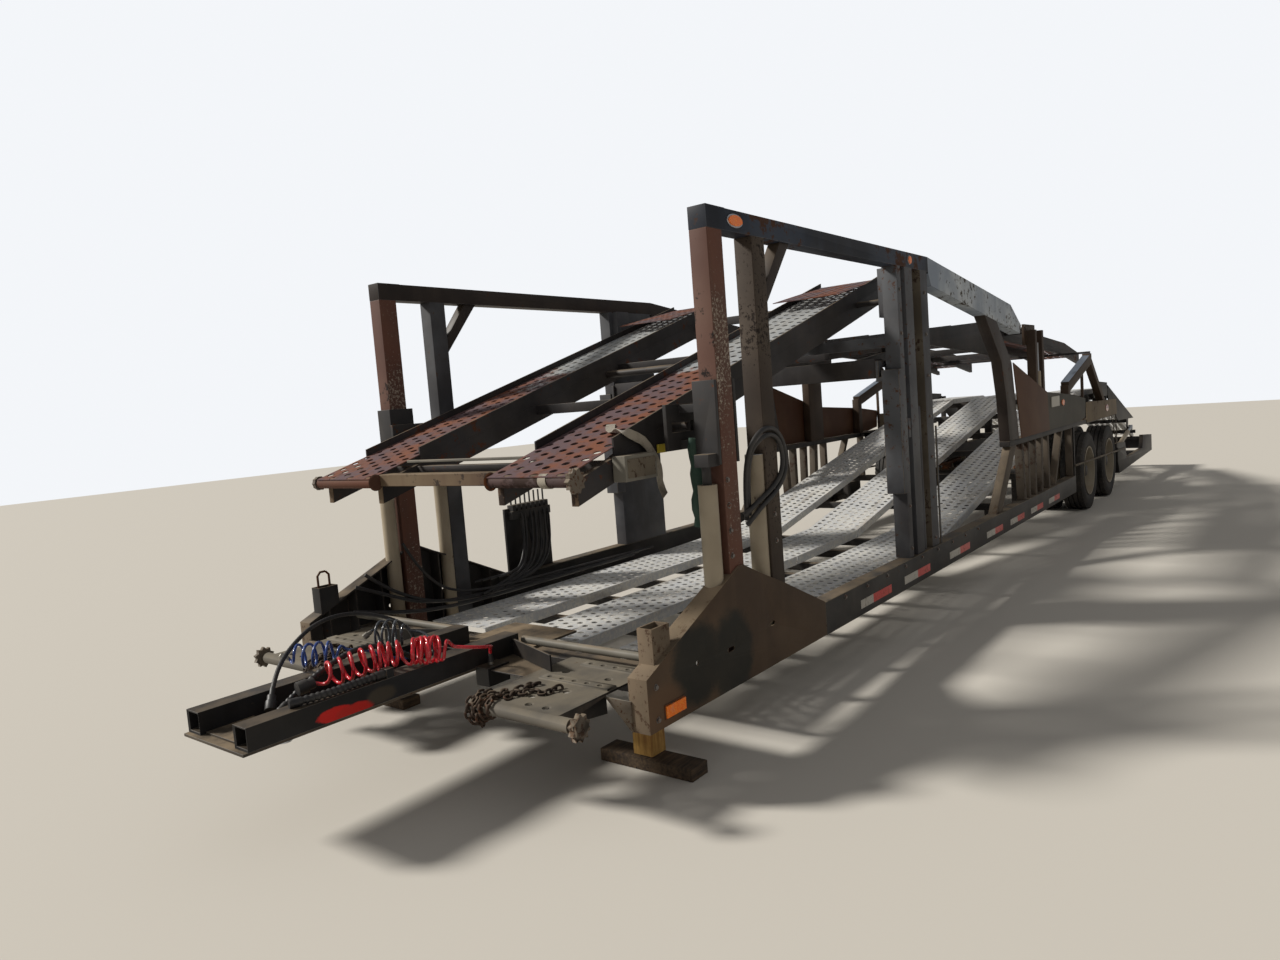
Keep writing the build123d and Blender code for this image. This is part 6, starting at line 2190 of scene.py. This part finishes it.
@dataclass
class ApronChains:
    """Binder chains heaped by the aprons' inner corners and trailing over the plates."""

    wire: float = 0.0062
    link: float = 0.048
    overlap: float = 2.6
    lean: float = 0.5
    routes: tuple[Route, ...] = (
        (
            (6.5, 0.585, 0.46), (6.56, 0.595, 0.475), (6.612, 0.605, 0.45), (6.608, 0.615, 0.4), (6.56, 0.625, 0.384),
            (6.52, 0.635, 0.41), (6.54, 0.645, 0.462), (6.59, 0.65, 0.468), (6.614, 0.655, 0.43), (6.59, 0.66, 0.388),
            (6.545, 0.665, 0.392), (6.53, 0.675, 0.45), (6.56, 0.685, 0.474), (6.605, 0.695, 0.462),
            (6.612, 0.705, 0.41),
        ),
        (
            (6.47, 0.595, 0.47), (6.53, 0.585, 0.478), (6.6, 0.575, 0.462), (6.615, 0.57, 0.41), (6.59, 0.575, 0.36),
            (6.56, 0.585, 0.345), (6.545, 0.605, 0.372), (6.575, 0.62, 0.35), (6.6, 0.63, 0.372), (6.618, 0.635, 0.43),
            (6.59, 0.645, 0.482), (6.54, 0.66, 0.4715), (6.5, 0.675, 0.47), (6.47, 0.65, 0.47), (6.43, 0.63, 0.47),
        ),
        (
            (6.56, 0.635, 0.486), (6.52, 0.685, 0.472), (6.48, 0.705, 0.47), (6.44, 0.69, 0.47), (6.46, 0.775, 0.47),
            (6.41, 0.75, 0.47), (6.39, 0.79, 0.47), (6.42, 0.83, 0.47), (6.37, 0.86, 0.47), (6.34, 0.83, 0.47),
            (6.3, 0.87, 0.47),
        ),
        (
            (6.545, 0.725, 0.47), (6.5, 0.735, 0.47), (6.47, 0.715, 0.47), (6.42, 0.68, 0.47), (6.38, 0.72, 0.47),
            (6.35, 0.69, 0.47), (6.3, 0.73, 0.47),
        ),
    )

    def shape(self) -> bpy.types.Mesh:
        """One chain link standing along Z.

        Returns:
            The link.
        """
        bend = self.link * 0.36 * 0.75
        straight = self.link * 0.5 - self.wire - bend
        across = Vector((0, 1, 0))
        ring = []
        for a in turns(12):
            level = straight if math.sin(a) > 0 else -straight
            ring.append(Vector((bend * math.cos(a), 0.0, level + bend * math.sin(a))))
        loops = []
        for k, centre in enumerate(ring):
            ahead = (ring[(k + 1) % len(ring)] - ring[k - 1]).normalized()
            beside = ahead.cross(across).normalized()
            loops.append([centre + (beside * math.cos(t) + across * math.sin(t)) * self.wire for t in turns(6)])
        sketch = Sketch()
        sketch.loft(loops, CHAIN_IRON, closed=True)
        return sketch.mesh("link")

    def build(self, repeater: Repeater) -> None:
        """String links along every route on both sides.

        Args:
            repeater: Maker of the copies.
        """
        shape = self.shape()
        for side in Side:
            spots = []
            for route in self.routes:
                line = follow([(x, side.value * y, z) for x, y, z in route])
                line = resample(line, self.link - self.overlap * self.wire)
                for k in range(1, len(line) - 1):
                    ahead = (line[k + 1] - line[k - 1]).normalized()
                    spots.append((tuple(line[k]), tuple(ahead), math.pi / 2 * (k % 2) + self.lean))
            sketch = Sketch()
            sketch.take(repeater.spread(shape, spots, CHAIN_IRON), CHAIN_IRON)
            sketch.piece(f"binder_chains_{side.label}", "chassis", 0.0, 60.0)


@dataclass
class Bolts:
    """Bolt heads and nuts on the side frames."""

    radius: float = 0.011
    height: float = 0.009
    twist: float = 0.37
    rows: tuple[tuple[Point, Point, int], ...] = (
        ((-735, 1284, 930), (-735, 1284, 1290), 4), ((-1160, 1284, 930), (-1160, 1284, 1200), 3),
        ((-3000, 1284, 560), (-3000, 1284, 2300), 7), ((-3460, 1284, 560), (-3460, 1284, 2300), 7),
        ((-1900, 1295.5, 470), (-4400, 1295.5, 470), 9), ((-60, 1295.5, 360), (-60, 1295.5, 500), 2),
    )

    def build(self, repeater: Repeater) -> None:
        """Set the heads on both sides.

        Args:
            repeater: Maker of the copies.
        """
        for side in Side:
            spots = []
            facing = (0.0, side.value * 1.0, 0.0)
            for start, end, count in self.rows:
                first, last = Vector(station(*start)), Vector(station(*end))
                for k in range(count):
                    point = first.lerp(last, k / (count - 1))
                    spots.append(((point.x, side.value * point.y, point.z), facing, k * self.twist))
            sketch = Sketch()
            sketch.take(repeater.spread(hex_head(self.radius, self.height), spots, BOLT_STEEL), BOLT_STEEL)
            sketch.piece(f"frame_bolts_{side.label}", "chassis", 0.0, 30.0)


@dataclass
class FixedHoses:
    """Hydraulic hoses clamped to the frame, and the bundles that lie by the far gusset."""

    loops: tuple[tuple[float, Route], ...] = (
        (0.0125, stations(
            (-985, 1225, 1060), (-960, 1240, 1250), (-967, 1268, 1406), (-1023, 1288, 1480), (-1110, 1294, 1512),
            (-1225, 1294, 1488), (-1306, 1290, 1385), (-1285, 1292, 1255), (-1165, 1294, 1178), (-1040, 1285, 1125),
            (-960, 1240, 1040),
        )),
        (0.0125, stations(
            (-1010, 1225, 1080), (-985, 1240, 1250), (-995, 1262, 1400), (-1045, 1286, 1452), (-1120, 1294, 1478),
            (-1215, 1294, 1456), (-1272, 1290, 1370), (-1250, 1292, 1270), (-1150, 1294, 1208), (-1030, 1280, 1155),
            (-950, 1235, 1090),
        )),
    )
    bundles: tuple[tuple[float, Route], ...] = (
        (0.011, stations(
            (-300, -1150, 700), (-420, -1080, 640), (-800, -1090, 480), (-1500, -1085, 445), (-2300, -1090, 440),
            (-3000, -1095, 436),
        )),
        (0.011, stations(
            (-380, -1160, 760), (-520, -1100, 620), (-900, -1075, 462), (-1600, -1100, 440), (-2500, -1110, 436),
            (-3100, -1120, 436),
        )),
        (0.013, stations(
            (-250, -1120, 560), (-500, -1050, 500), (-900, -1060, 440), (-1400, -1065, 430), (-2100, -1070, 430),
            (-2900, -1065, 430),
        )),
        (0.009, stations(
            (-700, -1190, 900), (-760, -1120, 700), (-1000, -1070, 500), (-1700, -1080, 470), (-2600, -1085, 452),
            (-3200, -1090, 440),
        )),
    )

    def bank(self) -> list[tuple[float, Route]]:
        """Hoses that hang down the valve bank's face and turn along the sill.

        Returns:
            Radius and route of each hose.
        """
        rows = []
        for k in range(7):
            x = -2058 + 48 * k + 9 * math.sin(3 * k)
            y = -1192 + 5 * math.sin(2.3 * k)
            drop = x + 60 + 14 * math.cos(1.9 * k)
            rows.append((0.0085, stations(
                (x, -1222, 962), (x, y, 935), (x + 6, y + 6, 820), (x + 30, y + 24, 690), (drop + 60, y + 66, 560),
                (drop + 260, y + 92, 492), (x + 560, y + 104 + 4 * k, 462),
            )))
        return rows

    def build(self) -> None:
        """Make the hoses as three pieces."""
        pieces = (("post_hose_loop", self.loops), ("sill_hose_bundle", self.bundles), ("bank_hose_row", self.bank()))
        for name, rows in pieces:
            sketch = Sketch()
            for radius, route in rows:
                path = resample(follow(route), 0.03)
                sketch.sweep(path, [radius] * len(path), HOSE_RUBBER, 12)
            sketch.piece(name, "chassis", 0.0, 60.0)


@dataclass
class SideLamps:
    """Oblong gusset lamps, an oval and a round lamp on each top rail, and the tail's markers."""

    proud: float = 0.012
    rail_face: float = 1.284
    rail_height: float = 2.505
    rail_lamps: tuple[tuple[float, Pair, float], ...] = (
        (-950.0, (0.060, 0.026), 0.010), (-3200.0, (0.026, 0.026), 0.007),
    )

    @staticmethod
    def oval(centre: Pair, reach: Pair) -> list[Pair]:
        """Outline of an oval about a point of the side."""
        return [(centre[0] + reach[0] * math.cos(a), centre[1] + reach[1] * math.sin(a)) for a in turns(24)]

    def build(self) -> None:
        """Make the lamps of both sides as one piece."""
        sketch = Sketch()
        for side in Side:
            base, lens = side.band(SIDE_FACE, SIDE_FACE + 0.005), side.band(SIDE_FACE + 0.003, SIDE_FACE + self.proud)
            sketch.block(between(-256, -104), base, (0.344, 0.408), RUSTED_IRON)
            sketch.block(between(-250, -110), lens, (0.350, 0.402), AMBER)
            base = side.band(self.rail_face, self.rail_face + 0.006)
            lens = side.band(self.rail_face + 0.004, self.rail_face + self.proud)
            for x, reach, rim in self.rail_lamps:
                centre = at(x), self.rail_height
                sketch.prism(self.oval(centre, (reach[0] + rim, reach[1] + rim * 0.7)), base, ROD_STEEL)
                sketch.prism(self.oval(centre, reach), lens, AMBER)
            skin = side.band(1.291, 1.298)
            sketch.block(between(-7330, -6990), skin, (1.318, 1.425), PLATE_WHITE)
            sketch.prism(self.oval((at(-7508), 1.345), (0.055, 0.032)), skin, AMBER)
            sketch.prism(self.oval((at(-9940), 1.165), (0.085, 0.045)), skin, RED_LENS)
        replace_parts(sketch.piece("side_lamps_dressed", "chassis", 0.0015, 50.0), "side_lamps")


@dataclass
class Strap:
    """A webbing strap laid along points, each with the direction that its face looks."""

    name: str
    course: tuple[tuple[Point, Point], ...]
    width: float = 0.048
    thickness: float = 0.0026
    gap: float = 0.012
    body: str = "front_deck"
    rests_on: str = "front_upper_tracks"

    def build(self) -> None:
        line = resample(follow([spot for spot, _ in self.course]), self.gap)
        facings = [Vector(facing) for _, facing in self.course]
        last = len(line) - 1
        rings = []
        for i, centre in enumerate(line):
            ahead = (line[min(i + 1, last)] - line[max(i - 1, 0)]).normalized()
            place = i / last * (len(facings) - 1)
            k = min(int(place), len(facings) - 2)
            across = ahead.cross(facings[k].lerp(facings[k + 1], place - k)).normalized()
            face = across.cross(ahead).normalized() * self.thickness / 2
            half = across * self.width / 2 * (1.0 - 0.06 * math.sin(i * 0.7) ** 2)
            rings.append([centre - half - face, centre + half - face, centre + half + face, centre - half + face])
        sketch = Sketch()
        sketch.loft(rings, STRAP_CLOTH)
        made = sketch.piece(self.name, self.body, 0.0, 40.0)
        round(run_length(line), 3)


UP: Point = (0.0, 0.0, 1.0)
OUT: Point = (0.0, 1.0, 0.0)


def deck_straps() -> tuple[Strap, ...]:
    """Straps on the front upper deck's near track: one draped over its side, one round its nose tube.

    Returns:
        The straps.
    """
    draped = (
        ((-620, 700, 1584), UP), ((-550, 740, 1564), UP), ((-470, 850, 1544), UP),
        ((-405, 925, 1560), (0.0, 0.5, 0.87)), ((-400, 968, 1552), (0.0, 0.8, 0.6)), ((-450, 974, 1530), OUT),
        ((-523, 976, 1500), OUT), ((-595, 976, 1420), OUT), ((-628, 977, 1350), OUT), ((-612, 978, 1290), OUT),
        ((-652, 978, 1225), OUT),
    )
    x, z = NOSE_TUBE
    ring = []
    for k in range(13):
        a = math.radians(200 - 30 * k)
        spot = (x + 33.5 * math.cos(a), 785 + 2.5 * k, z + 33.5 * math.sin(a))
        ring.append((spot, (math.cos(a), 0.0, math.sin(a))))
    return tuple(
        Strap(name, tuple((station(*spot), facing) for spot, facing in course))
        for name, course in (("draped_strap", draped), ("nose_strap", ring))
    )


class DeckFittings:
    """Box, blank tag and crossbars at the front deck's nose, the green sleeve, and the bars by the wheels."""

    def nose(self) -> None:
        """Make the fittings under the front deck's nose."""
        sketch = Sketch()
        wide = (-0.447, 0.447)
        sketch.block(between(-132, -52), wide, (1.346, 1.408), BAR_PATCHED)
        sketch.block(between(-262, -236), wide, (1.452, 1.466), PIPE_GREY)
        sketch.block(between(-535, -300), (0.955, 1.030), (1.330, 1.448), PIPE_GREY)
        sketch.block(between(-520, -315), (1.026, 1.034), (1.345, 1.432), POST_WORN)
        sketch.block(between(-712, -640), (0.955, 0.968), (1.432, 1.474), TAG_YELLOW)
        sketch.piece("nose_fittings", "front_deck", 0.003)

    def sleeve(self) -> None:
        """Make the crumpled sleeve on the front carriage."""
        sketch = Sketch()
        spine = [
            (at(-730 + 4 * math.sin(k)), 1.128 + 0.004 * math.cos(2.1 * k), 1.49 - 0.042 * k) for k in range(11)
        ]
        sketch.sweep(spine, [0.040 + 0.003 * math.sin(1.9 * k) for k in range(11)], SLEEVE_GREEN, 16)
        sketch.piece("green_sleeve", "front_carriage", 0.0, 60.0)

    def bars(self) -> None:
        """Make the bars by the wheels and the shackle on the far gusset."""
        sketch = Sketch()
        for side in Side:
            y = side.value * 1292
            sketch.block(between(-8012, -7974), side.band(1.268, 1.290), (0.49, 1.05), FRAME_BLACK)
            sketch.rod(station(-7992, y, 611), station(-11185, y, 534), 0.0125, POST_WORN, 12)
            sketch.block(between(-11204, -11168), side.band(1.150, 1.296), (0.518, 0.550), FRAME_BLACK)
        shackle = ((-185, 730), (-185, 800), (-165, 822), (-130, 822), (-110, 800), (-110, 730))
        sketch.sweep([station(x, -1240, z) for x, z in shackle], [0.007] * len(shackle), RUSTED_IRON, 10)
        sketch.piece("wheel_bars", "chassis", 0.002, 45.0)

    def build(self) -> None:
        """Make the fittings of each body."""
        self.nose()
        self.sleeve()
        self.bars()


def dress_frame() -> dict[str, bpy.types.Object]:
    """Dress every CAD node that keeps its shape.

    Returns:
        The dressed pieces by node.
    """
    dressed = {}
    for part in FRAME_PARTS:
        dressed[part.node] = part.build()
        LOG.info("dressed %s", part.node)
    return dressed


def main() -> None:
    """Build the studio and every piece in order, and note the sizes."""
    logging.basicConfig(level=logging.INFO, format="%(message)s")
    Studio().build()
    LOG.info("studio")
    dressed = dress_frame()
    Tongue().build()
    TongueLines().build(dressed)
    LOG.info("tongue")
    repeater, perforator = Repeater(), Perforator()
    for tracks in deck_tracks():
        made = tracks.build(perforator)
        LOG.info("%s: %d faces", made.name, len(made.data.polygons))
    for end in AxleEnd:
        for side in Side:
            pair = WheelPair(end, side)
            pair.tyres(repeater)
            pair.rims(repeater)
            LOG.info("wheel %s", pair.name)
    SafetyTape().build()
    ApronChains().build(repeater)
    Bolts().build(repeater)
    FixedHoses().build()
    SideLamps().build()
    DeckFittings().build()
    for strap in deck_straps():
        strap.build()
    LOG.info("fittings")


if __name__ == "__main__":
    main()
